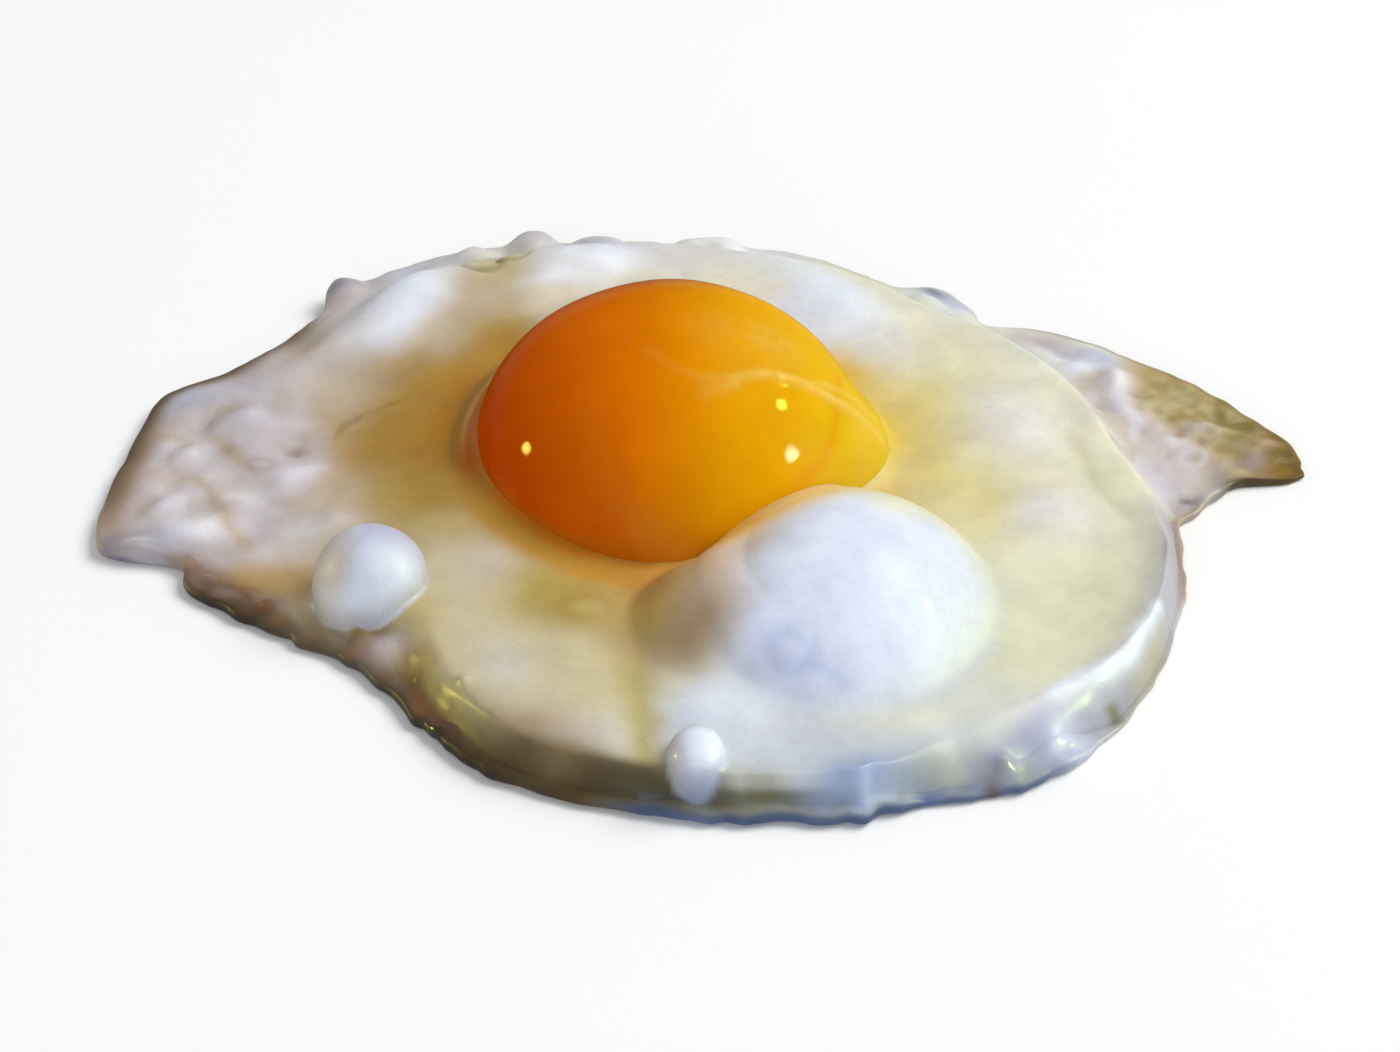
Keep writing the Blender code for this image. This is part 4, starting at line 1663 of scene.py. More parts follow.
    dab(Tone.STRAW, 0.7, 36, -12, 3, 3),
    dab(Tone.GOLD_BRIGHT, 0.9, 21.6, 13, 2.8, 5.2, 25),
    dab(Tone.GOLD, 0.45, 28, -1, 5, 6),
    dab(Tone.OLIVE_WARM, 0.85, -18.5, 18.8, 4, 5.8, 30),
    dab(Tone.OLIVE_AMBER, 0.75, -22, 6.5, 3, 9, -4),
    dab(Tone.OLIVE_LIGHT, 0.95, -25.5, -10.3, 4.8, 4.6),
    dab(Tone.KHAKI_WARM, 0.75, -23, -15.8, 4.4, 2.8, -20),
    dab(Tone.FAR_GREY, 0.9, -8.5, 40.6, 5.2, 1.9),
    # painted light on the far swell behind the yolk
    dab(Tone.PAINTED_GLEAM, 0.75, -12, 32.2, 3.6, 2.2, 10),
    dab(Tone.LIP_SHADE, 0.6, -27, 36.5, 3.8, 2.4, 20),
    dab(Tone.WING_GREY, 0.6, -36.4, 36.4, 2.8, 2.4, 30),
    dab(Tone.LILAC, 0.6, -32, 39.4, 3.2, 2.4, 30),
    dab(Tone.PALE_PEACH, 0.6, -13.5, 28, 3.6, 2, 30),
    dab(Tone.MILK, 0.7, -16.2, 40.2, 2.2, 1.8),
    dab(Tone.PALE_SKY, 0.8, 35.6, 32.2, 3, 2, -42),
    # the seam against the yolk: the yolk seen through the clear white, with painted glow of its colour
    hem(Tone.AMBER, 0.85, Edge.YOLK, -0.6, 2.6, 178, 112, 24),
    hem(Tone.EMBER, 0.9, Edge.YOLK, 0, 1, 110, 190, 26),
    hem(Tone.GOLD_BRIGHT, 0.8, Edge.YOLK, -0.4, 1.2, 330, 110, 30),
    hem(Tone.HONEY, 0.8, Edge.YOLK, -2.6, 2, 196, 100, 20),
    hem(Tone.SEAM_AMBER, 0.95, Edge.YOLK, -1, 1.9, 112, 110, 24),
    hem(Tone.SEAM_EMBER, 0.9, Edge.YOLK, -0.8, 1.4, 158, 56, 18),
    hem(Tone.SEAM_HONEY, 0.9, Edge.YOLK, -2, 1.9, 192, 76, 16),
    hem(Tone.SEAM_GLOW, 0.85, Edge.YOLK, -0.4, 1, 200, 60, 16),
    hem(Tone.SEAM_GOLD, 0.8, Edge.YOLK, -1, 1.8, 264, 42, 12),
    # painted glow of the yolk on the dome beside the yolk's tail
    dab(Tone.YOLK_GLOW_PALE, 0.7, 17.5, -15.5, 3.6, 3, 40),
    hem(Tone.OLIVE_DARK, 0.55, Edge.YOLK, -3, 0.5, 122, 84, 26),
    # painted highlight: the light line along the clear meniscus at the yolk's left
    hem(Tone.MENISCUS_HIGHLIGHT, 0.65, Edge.YOLK, -1.9, 0.4, 128, 66, 26),
    hem(Tone.OLIVE_DARK, 0.35, Edge.YOLK, -2.3, 0.3, 122, 84, 26),
    # the wing
    Coat(Tone.BEIGE, 1, Beyond(Zone(Oval(58, 5, 15, 13, -40), 0.5), Edge.LIP)),
    Coat(
        Tone.MAUVE,
        0.35,
        Patchy(Beyond(Zone(Oval(56, 5, 12, 12, -40), 0.5), Edge.LIP), Ripple(2.4, 63), 0.2),
    ),
    Coat(
        Tone.PEARL_LIGHT,
        0.6,
        Patchy(Beyond(Zone(Oval(54, 9, 12, 14, -40), 0.5), Edge.LIP), Ripple(2, 64), 0.3),
    ),
    wash(Tone.OLIVE_GREY, 1, 0.7, 62.5, 11.5, 12, 5.4, -42),
    Coat(Tone.MOSS, 0.5, Patchy(Zone(Oval(62.5, 10.5, 11, 5, -42), 0.7), Ripple(2.6, 65), 0.15)),
    Coat(Tone.OLIVE_GOLD, 0.4, Patchy(Zone(Oval(65, 6.5, 9, 5, -42), 0.7), Ripple(2.1, 66), 0.3)),
    dab(Tone.WING_SAND, 0.6, 60, 13.5, 5, 2.8, -40),
    dab(Tone.PEARL_LIGHT, 0.5, 56.5, -1.5, 3.8, 4.6),
    dab(Tone.WING_SHADE, 0.75, 66.5, -3, 4, 2.8, 10),
    dab(Tone.SAND, 0.6, 56.8, 10.5, 2.6, 1.8, -30),
    dab(Tone.OLIVE_GREY, 0.9, 63.9, 2.2, 3, 2.4, 20),
    dab(Tone.PEARL_LIGHT, 0.9, 46.5, 21.8, 7, 2.6, -48),
    dab(Tone.MAUVE, 0.6, 44.8, 24, 2.4, 1.4, -20),
    dab(Tone.LAVENDER, 0.9, 51, 19.6, 2.6, 2, -30),
    dab(Tone.BRIGHT, 0.8, 48.9, 17.4, 1.8, 1.5),
    dab(Tone.TAN, 0.5, 52.6, 15.4, 2, 1.6),
    stroke(Tone.PEARL_LIGHT, 0.85, 1.3, *WING_WRINKLE),
    ring(Tone.PEARL_LIGHT, 0.5, 60, 1.4, 1.5, 1.5, 0.5),
    dab(Tone.PEARL_LIGHT, 0.6, 57.9, 4.6, 1.6, 1.2),
    dab(Tone.MILK, 0.6, 62.3, 6.2, 2, 1.1, -10),
    dab(Tone.UMBER_LIGHT, 0.8, 59.1, 5.6, 0.8, 0.7),
    dab(Tone.MAUVE, 0.35, 56.5, -4.5, 2, 3),
    wash(Tone.WING_TIP, 0.95, 0.9, 72.4, 0.6, 6.2, 7),
    Coat(Tone.OLIVE, 0.3, Patchy(Zone(Oval(71, 1.6, 6, 6), 0.9), Ripple(2, 67), 0)),
    dab(Tone.PEACH_GREY, 0.55, 68.2, 3.6, 1.4, 1.3),
    Coat(Tone.SAND, 0.4, Patchy(Zone(Oval(64.5, 8, 12, 4.6, -40), 0.6), Ripple(1.2, 73), 0.1, 0.9)),
    Coat(Tone.MOSS, 0.35, Patchy(Zone(Oval(64, 6.5, 12, 5, -40), 0.6), Ripple(1.4, 74), 0.2, 0.8)),
    hem(Tone.BROWN, 0.6, Edge.RIM, 0.6, 1.2, 354, 14, 4),
    dab(Tone.MAUVE, 0.7, 66.9, 0.2, 1.2, 2, -20),
    dab(Tone.STRAW, 0.5, 64.4, -2, 1, 0.8),
    stroke(Tone.PEARL_LIGHT, 0.8, 0.7, (60, -6.2), (61.4, -5.8), (63, -4.8)),
    dab(Tone.UMBER, 0.9, 58.7, -6.4, 1, 0.8),
    dab(Tone.PEARL_LIGHT, 0.7, 56.2, -5, 1.8, 3.2),
    dab(Tone.PEARL_MILK, 0.6, 55.8, -13.5, 1.4, 4.2),
    dab(Tone.WING_GREY, 0.8, 60, -8.4, 2.8, 2.2),
    dab(Tone.LIP_SHADE, 0.7, 48.2, 6.6, 2.4, 4.8),
    dab(Tone.LIP_SHADE, 0.7, 40.4, 22.4, 2.8, 3.4, -50),
    dab(Tone.CREAM, 0.8, 51.6, -18, 1.8, 3.8, 8),
    # the roll and the wall at the lower right, with painted light on the roll and painted glints
    # painted highlight along the top of the roll
    hem(Tone.PEARL_LIGHT, 0.9, Edge.LIP, -0.2, 1.5, 304, 34, 8),
    # painted light: the plateau lightened where it slopes towards the roll
    hem(Tone.PALE_CREAM, 0.6, Edge.LIP, 3.2, 2, 306, 34, 10),
    hem(Tone.EDGE_LAVENDER, 0.9, Edge.LIP, -1.8, 1.3, 296, 44, 10),
    dab(Tone.PEARL_LIGHT, 0.8, 39.6, -48.4, 3.2, 2.4, 20),
    # painted glints in a ring round the lump
    ring(Tone.BRIGHT, 0.8, 39.9, -48.6, 1.3, 1.1, 0.3),
    dab(Tone.PINK_BROWN, 0.9, 54.9, -21.5, 1.4, 2.6, 10),
    # rims, and the painted shadow under the lip
    hem(Tone.TAN_DEEP, 0.85, Edge.RIM, 0.9, 2.6, 168, 30, 10),
    hem(Tone.UMBER_OLIVE, 0.9, Edge.RIM, 0.6, 1.6, 152, 42, 10),
    dab(Tone.LAVENDER, 0.6, -53.6, 12, 2.8, 2, 25),
    hem(Tone.UMBER, 0.95, Edge.RIM, 0, 1.1, 140, 52, 14),
    hem(Tone.BURNT, 0.8, Edge.RIM, -0.3, 0.5, 146, 44, 14),
    hem(Tone.KHAKI, 0.45, Edge.LIP, -1.6, 2.6, 210, 60, 14),
    hem(Tone.SLOPE_OLIVE, 0.95, Edge.LIP, -3.3, 2.2, 216, 62, 10),
    # browned rim, darkened further by painted shade on the steep edge that faces the front, with a
    # near-black line of painted shade at its very edge
    hem(Tone.RIM_BROWN_AND_SHADE, 0.92, Edge.RIM, 1, 2.8, 200, 68, 8),
    Coat(Tone.PINK_BROWN, 0.35, Patchy(Band(Edge.RIM, 1.8, 1.6, 200, 58, 8), Ripple(2.4, 68), 0.2, 1)),
    Coat(Tone.RUST, 0.5, Patchy(Band(Edge.RIM, 2, 1.6, 196, 60, 8), Ripple(2, 69), 0.3, 1)),
    Coat(Tone.MAUVE, 0.35, Patchy(Band(Edge.RIM, 2.6, 1.6, 200, 36, 8), Ripple(2.2, 72), 0.2, 1)),
    hem(Tone.RIM_BLACK, 0.9, Edge.RIM, -0.2, 0.8, 200, 66, 6),
    # painted shadow: the dark olive band under the overhanging lip at the front
    hem(Tone.UNDER_LIP_SHADOW, 0.95, Edge.FOOT, 0.4, 1.6, 248, 32, 6),
    hem(Tone.UNDER_LIP_SHADOW, 0.9, Edge.RIM, 0.9, 1.6, 256, 22, 6),
    Coat(Tone.UNDER_LIP_SHADOW_MOSS, 0.85, Low(Band(Edge.RIM, 1.2, 2.6, 262, 30, 7), 3.8, 1.4)),
    Coat(Tone.MOSS, 0.4, Patchy(Band(Edge.FOOT, 0.6, 1.2, 272, 22, 5), Ripple(2.6, 75), 0.1, 0.9)),
    # painted shade and reflection: the blues of the front foot stand for a dark blue pan mirrored in the
    # wet white, darkest along the bottom edge
    hem(Tone.STEEL, 0.7, Edge.RIM, 1, 2.4, 290, 24, 6),
    hem(Tone.SKY_BLUE, 0.75, Edge.RIM, 1.8, 2.2, 281, 16, 8),
    Coat(Tone.FOOT_SHADE_REFLECTION, 0.9, Low(Band(Edge.RIM, 0.6, 2, 266, 46, 5), 1.6, 1)),
    Coat(
        Tone.FOOT_BLUE,
        0.6,
        Low(Patchy(Band(Edge.RIM, 1, 1.6, 264, 50, 6), Ripple(2.4, 70), 0.1, 1.2), 2.2, 1),
    ),
    Coat(Tone.MOSS, 0.3, Patchy(Band(Edge.RIM, 0.9, 1, 282, 30, 6), Ripple(1.6, 71), 0.35, 0.6)),
    hem(Tone.NAVY_SHADE_REFLECTION, 0.95, Edge.RIM, -0.25, 0.45, 262, 52, 8),
    hem(Tone.WALL_LAVENDER, 0.85, Edge.RIM, 1.4, 2.6, 306, 48, 8),
    hem(Tone.OLIVE_MIST, 0.75, Edge.RIM, 1.1, 0.9, 318, 14, 5),
    hem(Tone.PINK_BROWN, 0.8, Edge.RIM, -0.2, 0.5, 314, 20, 6),
    hem(Tone.PINK_BROWN, 0.7, Edge.RIM, 0.2, 0.9, 333, 22, 6),
    hem(Tone.BURNT, 0.85, Edge.RIM, -0.1, 0.8, 352, 10, 4),
    hem(Tone.UMBER, 0.65, Edge.RIM, 0.1, 0.6, 2, 34, 6),
    hem(Tone.MAUVE, 0.4, Edge.RIM, 0, 0.9, 30, 112, 10),
    # marks on the roll and the wall, with a painted highlight along the roll's crest
    # painted highlight: a bright line along the crest of the roll
    stroke(Tone.BRIGHT, 0.8, 0.9, (51.5, -30.4), (47.4, -37), (44.2, -40.6), (39.8, -44.3)),
    Coat(Tone.MOSS, 0.8, Low(Stain(Oval(45.6, -42.8, 1, 0.9)), 3, 0.8)),
    Coat(Tone.UMBER, 0.9, Low(Stain(Oval(32.9, -53.4, 0.8, 1.2)), 2.6, 0.8)),
    dab(Tone.EDGE_LAVENDER, 0.7, 43.6, -48, 3, 2.2, 30),
    dab(Tone.LILAC, 0.7, 39.6, -48.4, 3, 2.2, 20),
    dab(Tone.OLIVE_MIST, 0.3, 29, -51.8, 3, 1.6, 10),
    # lumps under the left bubble and on the far rim; the far beads' lavender and slate are painted shade
    dab(Tone.PEARL, 0.9, -27.2, -33.9, 2.4, 2.1),
    dab(Tone.MILK_LAVENDER, 0.9, -16.4, 43.4, 3.4, 2.4),
    dab(Tone.SLATE, 0.85, -16.6, 45.8, 2.8, 1.5),
    dab(Tone.LAVENDER, 0.9, -8.5, 45.4, 4, 1.3, -4),
    dab(Tone.PEARL_LIGHT, 0.8, 5.5, 45, 3.6, 1.6),
    dab(Tone.LAVENDER, 0.85, -24.4, 42.2, 3, 1.5, 20),
    dab(Tone.LAVENDER, 0.85, -39.6, 34.4, 3, 1.8, 40),
    dab(Tone.LAVENDER, 0.8, 33.4, 32.8, 4, 1.4, -42),
    dab(Tone.SLATE, 0.7, 32.4, 34, 2, 1, -40),
    dab(Tone.UMBER, 0.6, -40, 33.6, 1.6, 2.4, -30),
    # painted highlight on the tail's tip
    dab(Tone.PALE_SKY, 0.6, -57.4, -16.2, 1.6, 0.9, 10),
    # painted light: lightens the ground left of the left bubble, where the bubble shades it
    dab(Tone.SAND_PAINTED_LIGHT, 0.8, -36.4, -25.6, 2.8, 2.8),
    dab(Tone.TRIANGLE, 0.65, -24, -36.4, 2.8, 1.8, -40),
    dab(Tone.FRONT_TAN, 0.7, -13.2, -48, 4.2, 1.8, -12),
    dab(Tone.FRONT_TAN, 0.4, -9, -51.6, 2.8, 1.3, -10),
    # painted shade with a blue reflection under the tail's tip
    Coat(Tone.NAVY_SHADE_REFLECTION, 0.9, Low(Stain(Oval(-59, -18.4, 1.4, 1.4, 10)), 1.2, 0.7)),
)

LEFT_SKIN = Zone(LEFT_BUBBLE, 0.24)
FRONT_SKIN = Zone(FRONT_BUBBLE, 0.4)

# the bubbles' own lavender and blue-grey, with painted light and shade: on the left bubble a shaded left
# side, a lit right side and a lit underside; on the front bubble a lit upper right, a blue shaded bottom
# and a warm shaded left side
BUBBLE_SKIN_AND_LIGHT: tuple[Coat, ...] = (
    Coat(Tone.BUBBLE, 1, LEFT_SKIN),
    Coat(Tone.BUBBLE_SHADE, 0.85, Within(Ball((-35.2, -26, 5.6), (4.6, 6.4, 5.4), 1), LEFT_SKIN)),
    Coat(Tone.BUBBLE_LIT, 0.9, Within(Ball((-27.6, -28.4, 6), (4.4, 5, 5), 0.9), LEFT_SKIN)),
    Coat(Tone.BRIGHT, 0.6, Within(Ball((-30.6, -30.4, 3.2), (5.4, 3.4, 3.4), 1.2), LEFT_SKIN)),
    Coat(Tone.LAVENDER, 1, FRONT_SKIN),
    Coat(Tone.BRIGHT, 0.9, Within(Ball((5.6, -53, 6.6), (3.6, 4.4, 3.4), 1), FRONT_SKIN)),
    Coat(Tone.SKY_BLUE, 0.85, Within(Ball((5.4, -55.2, 2.6), (3, 2.6, 2.4), 1.6), FRONT_SKIN)),
    Coat(Tone.PEARL, 0.9, Within(Ball((0.9, -53.6, 4.4), (1.9, 3, 4), 1), FRONT_SKIN)),
)

WET_BEADS: tuple[Bead, ...] = bubbles(
    (0.5, -48, -21.6, 0.7, 1.1, 60),
    (0.35, -50.4, -17.9, 0.6, 0.8, 70),
    (0.35, -45.3, -22.4, 0.7, 0.6),
    (0.4, -43.1, -24.2, 1.4, 0.5, -40),
    (0.5, -41.3, -25.8, 0.8, 0.7),
    (0.4, -36.9, -25.6, 0.6, 0.6),
    (0.4, -24.5, -37.9, 0.6, 0.7),
    (0.3, -24.6, -35.4, 0.5, 0.9, 90),
    (0.5, -19.4, -41.2, 0.8, 0.8),
    (0.5, -21.4, -45, 1.7, 0.6, -20),
    (0.4, -0.9, -49.6, 0.6, 0.6),
    (0.25, 5, -50.8, 0.6, 0.7),
    (0.5, 33.9, -51.2, 0.9, 0.9),
)

EGG_WET: tuple[Shine, ...] = (
    Shine(Zone(Oval(-27, 3, 10, 20, -4), 0.8), 0.2),
    Shine(Zone(Oval(-50, -2, 14, 20), 0.6), 0.12),
    Shine(Zone(Oval(60, 5, 13, 12, -40), 0.6), 0.22),
    Shine(Band(Edge.LIP, -0.4, 1.4, 300, 40, 10), 0.05),
    Shine(Band(Edge.RIM, 2.6, 1.2, 202, 26, 8), 0.3),
    Shine(Stain(Oval(39.6, -48.4, 2.2, 1.9, 20)), 0.22),
    Shine(Stain(Oval(33.9, -51.4, 1.2, 1.2)), 0.2),
    Shine(Stain(Oval(-56, -16.5, 3, 2)), 0.25),
    Shine(Zone(FRONT_BUBBLE, 0.15), 0.3),
    Shine(Zone(LEFT_BUBBLE, 0.1), 0),
)

EGG_FROTH: tuple[Shine, ...] = (
    Shine(Stain(Oval(-50, 0, 14, 20, 10)), 0.5),
    Shine(Stain(Oval(58, 6, 14, 12, -35)), 0.6),
)


@dataclass(frozen=True)
class White:
    """The white with its domes, bubbles, swells, froth and colours.

    Attributes:
        form: its plain shape.
        finish: its material.
        domes: the great blister beside the yolk, and the brown shoulder that runs up to it.
        balloons: the round bubbles on the left and on the front edge.
        swells: soft rises and hollows of the thick white.
        tail_lumps: the same on the tail.
        wing_lumps: the same on the wing.
        beads: small bubbles along the far rim.
        wet_beads: tiny bubbles that glint.
        froths: scattered bubbles and pits.
        rough: where the surface is rough, and how much.
        rough_grain: the noise of that roughness.
        uneven: the noise of the whole surface.
        ridges: wrinkles that are softened with the swells.
        creases: marks that stay sharp.
        rim_calm: how near a rounded rim the relief fades out.
        seat_calm: how far from the yolk the relief comes in.
        least: the least height of the top.
        under_yolk: how far the seat lies under the yolk.
        drifts: the noise that shifts the paint to the right and back.
        mottle: the noise that makes the paint lighter and darker.
        dampness: how wet it is where nothing says otherwise.
    """

    form: WhiteForm
    finish: SetWhite = SetWhite()
    domes: tuple[Dome, ...] = (
        Dome(Oval(18.9, -26.7, 14.6, 16, -8), 12.2, -75, (0.62, 1.05), 0.14),
        Dome(Oval(6.8, -30.4, 9.4, 10.2, 20), 9.4, -120, (1, 1.7), 0.1),
    )
    balloons: tuple[Balloon, ...] = (
        Balloon(LEFT_BUBBLE, 9.8),
        Balloon(FRONT_BUBBLE, 7.2, edge=1.1, ease=0.8),
    )
    swells: tuple[Swell, ...] = lumps(
        (3, -30.5, 29.5, 10.5, 5.2, 57),  # the far left swell
        (0.9, -41, 18.5, 5.5, 2.2, 50),
        (1.5, -10, 35.4, 8, 4.6, 10),  # the far swell
        (1.6, 20.8, 27.2, 9.5, 5.5, -35),  # the far right swell
        (1, 39.4, 2.4, 4.8, 5.2),
        (1.1, 42.2, -13.8, 6, 5, 30),
        (0.5, 31, -9, 6, 5),
        (1.5, 6.2, -46.6, 4.6, 3.2, 40),  # the swell behind the front bubble
        (0.9, -11, -43, 9, 7.5),  # the front left lobe
        (0.4, -7, -29.8, 2.4, 2),
        (1.2, -31.5, -31.2, 2.2, 1.8),  # drips under the left bubble
        (1.6, -27.6, -33.9, 2.4, 2.1),
        (-0.9, -33, -31.8, 1.1, 0.9),
        (0.8, -39.6, -26.4, 2.6, 1.6, -25),
        (1.7, 39.6, -48, 3.6, 3, 20),  # the glinting lump at the front right
        (-0.5, 39.9, -48.6, 0.8, 0.7),
        (1.9, 33.9, -51.2, 1.8, 1.6),
        (-1, 32.9, -53.4, 1, 0.9),
        (-1, 26.5, -54.3, 1, 0.8),
        (-0.9, 45.3, -42.5, 1.3, 1.1),
        (-0.6, 29.5, -50.9, 1.4, 2.4, 20),
        (-0.8, -43.5, 23.2, 2.6, 2, 40),
        (0.5, 1.6, -55.8, 2.6, 1),  # feet of the thin white in front
        (0.6, 9.6, -56.2, 3.2, 1),
        (0.9, 20, -54.8, 3, 1.4, 8),
        (1, 54.9, -21.8, 1.6, 2.4, 10),
    )
    tail_lumps: tuple[Swell, ...] = lumps(
        (1.1, -54, 9.9, 3.2, 2.1, 20),
        (1, -47.4, 6.5, 3, 2.6),
        (0.8, -56.2, 1.6, 1.8, 1.6),
        (0.6, -53.2, 0.4, 1.9, 1.5),
        (0.9, -41.3, -4.5, 2.4, 2.6),
        (1, -46.5, -9.1, 3, 2.4),
        (1.4, -50.7, -13.2, 2.8, 2.2, 30),
        (1.1, -56.2, -16.6, 2.4, 1.6, 10),
        (0.6, -43.5, 12, 4.2, 3, 20),
        (-0.5, -45.2, -2.1, 0.8, 0.7),
        (-0.5, -49.1, 1.1, 1.4, 1.2),
        (-0.5, -42, 1.2, 1, 0.9),
        (-0.3, -57.2, -9.9, 1.6, 1.8),
        (-0.5, -47.2, -16.4, 1.8, 1.2),
    )
    wing_lumps: tuple[Swell, ...] = lumps(
        (1.1, 50.8, 20.2, 3, 1.8, -40),
        (1, 48.7, 17.4, 1.7, 1.4),
        (-0.8, 47, 21.3, 1.6, 0.8, -40),
        (0.9, 52.3, 15.6, 1.7, 1.5),
        (0.9, 57.8, 4.4, 1.7, 1.3),
        (0.9, 62.2, 6.3, 2, 1.2, -10),
        (-1.2, 59.1, 5.6, 1, 0.8),
        (-0.6, 60, 1.2, 0.8, 0.8),
        (0.9, 68, 3.7, 2.2, 1.4, -15),
        (0.8, 64.3, -2.3, 1.3, 1),
        (-1.1, 58.6, -6.5, 1.1, 0.9),
        (-0.5, 65.2, 8, 2.8, 1.3, -35),
        (-0.45, 58.6, 13.8, 3, 1.3, -35),
    )
    beads: tuple[Bead, ...] = bubbles(
        (2.2, -39.2, 33.4, 3.4, 2.8, 40),
        (1.5, -23.9, 41, 2.8, 2.3, 20),
        (2.8, -16.4, 43.6, 3.4, 3),
        (2.2, -8.5, 43.6, 4.4, 2.5, -4),
        (1.9, 3, 43.4, 2.6, 2.2),
        (2.2, 7, 43.6, 3, 2.4, -8),
        (1.2, 31.8, 31, 3, 2, -45),
        (0.8, 35.6, 28.2, 2.8, 2, -45),
        (0.8, 56, -14, 1.3, 2.7, -6),
    )
    wet_beads: tuple[Bead, ...] = WET_BEADS
    froths: tuple[Froth, ...] = (
        Froth(Oval(-48.5, -2, 12, 17, 10), 30, (0.9, 2), 0.2, 0.5, 11),
        Froth(Oval(57, 7, 13, 11, -35), 36, (0.8, 1.8), 0.2, 0.5, 12),
        Froth(Oval(-24, 38, 13, 5, 20), 24, (0.9, 2), 0.2, 0.4, 13),
        Froth(Oval(-34, -33, 15, 6, -38), 34, (0.7, 1.6), 0.22, 0.35, 14),
        Froth(Oval(-45.5, -22.5, 7.5, 3, -38), 16, (0.7, 1.3), 0.35, 0.2, 18),
        Froth(Oval(-20, -43, 16, 3, -38), 14, (0.8, 1.4), 0.2, 0.3, 19),
        Froth(Oval(45, -43, 16, 6, 42), 20, (0.8, 1.6), 0.2, 0.4, 16),
        Froth(Oval(56, -15, 3, 12, -6), 14, (0.8, 1.6), 0.16, 0.2, 17),
    )
    rough: tuple[tuple[Oval, float], ...] = (
        (Oval(-49, -2, 13, 19, 8), 0.45),
        (Oval(59, 6, 13, 11, -35), 0.45),
        (Oval(42, -45, 12, 6, 42), 0.3),
        (Oval(-38, -26, 12, 5, -38), 0.35),
    )
    ridges: tuple[Ridge, ...] = (
        Ridge(Strand(((-2.6, -26), (-2.8, -34), (-2.2, -41), (-1.4, -47), (-0.4, -51.5)), 2.4), -0.6),
        Ridge(Strand(((-52.6, 5.9), (-51.2, 7.4), (-48.8, 9.9)), 1.6), -0.35),
        Ridge(Strand(((-55.4, -10.4), (-53.3, -7.7)), 1.2), 0.7),
        Ridge(Strand(((-40.2, -15.6), (-37, -14.9), (-35, -13.4)), 1.5), 0.7),
        Ridge(ringlet(-45.2, -2.1, 1.3, 1.1, 0.7), 0.3),
        Ridge(Strand(WING_WRINKLE, 1.1), 0.8),
        Ridge(ringlet(60, 1.3, 1.5, 1.4, 0.6), 0.5),
        Ridge(Strand(((67.4, 1.6), (66.8, -0.8)), 0.7), 0.6),
        Ridge(Strand(((60, -6.4), (61.4, -6), (63, -5)), 0.9), 0.7),
        Ridge(Strand(((53.6, -26), (51.5, -30.4), (47.4, -37), (44.2, -40.6), (39.8, -44.3)), 2), 0.5),
        Ridge(ringlet(39.9, -48.6, 1.3, 1.1, 0.5), 0.5),
    )
    creases: tuple[Ridge, ...] = (
        Ridge(ringlet(13.6, -39.4, 2.1, 1.7, 0.7), -0.2),
        Ridge(Strand(DOME_SCAR, 0.6), -0.2),
        Ridge(ringlet(-22.7, 36, 2.6, 1.8, 0.6), -0.4),
        Ridge(ringlet(-19.3, 38.4, 2, 1.5, 0.55), -0.35),
        Ridge(Strand(((-37, 4), (-36.2, 5.8), (-34.3, 7.8), (-32.4, 8.6)), 0.6), -0.18),
        Ridge(Strand(RIGHT_CREASE, 1.4), -0.2),
    )

    rough_grain: Grain = Grain(((1.0, Ripple(3.4, 23)), (0.5, Ripple(1.7, 24))))
    uneven: Grain = Grain(((0.2, Ripple(11.0, 21)), (0.1, Ripple(4.5, 22))))
    rim_calm: float = 3.0
    seat_calm: Ramp = Ramp(0.8, 3.8)
    least: float = 0.5
    under_yolk: float = 0.25
    drifts: tuple[Grain, Grain] = (
        Grain(((0.9, Ripple(8.0, 31)), (0.35, Ripple(2.6, 32)))),
        Grain(((0.9, Ripple(8.0, 33)), (0.35, Ripple(2.6, 34)))),
    )
    mottle: Grain = Grain(((0.05, Ripple(3.4, 35)), (0.03, Ripple(1.3, 36))))
    dampness: float = 0.02

    def relief(self, x: Floats, y: Floats) -> Floats:
        """All that is added to the height of the plain white, apart from domes and balloons."""
        total = self.uneven.at(x, y)
        for place, size in self.rough:
            total = total + size * place.spot(x, y) * self.rough_grain.at(x, y)
        soft = (*self.swells, *self.tail_lumps, *self.wing_lumps)
        for feature in (*soft, *self.beads, *self.froths, *self.ridges):
            total = total + feature.relief(x, y)
        return total

    def crown(self, bearing: Floats) -> Floats:
        """The rings of the top, from the yolk to just inside the rim, with every feature."""
        x, y, off = self.form.top(bearing)
        z = self.form.height(x, y, off)
        near_rim = 1 - smooth_step((self.form.rim_reach(bearing) - np.hypot(x, y)) / self.rim_calm)
        calm = self.seat_calm.at(off) * (1 - self.form.rounded.at(bearing) * near_rim)
        z = np.maximum(z + self.relief(x, y) * calm, self.least)
        z = soften(z, 3)
        for dome in self.domes:
            z = dome.over(x, y, z)
        z = soften(z, 1)
        for bead in self.wet_beads:
            z = z + bead.relief(x, y)
        for crease in self.creases:
            z = z + crease.relief(x, y)
        for balloon in self.balloons:
            x, y, z = balloon.swell(x, y, z)
        return np.stack([x, y, z], axis=-1)

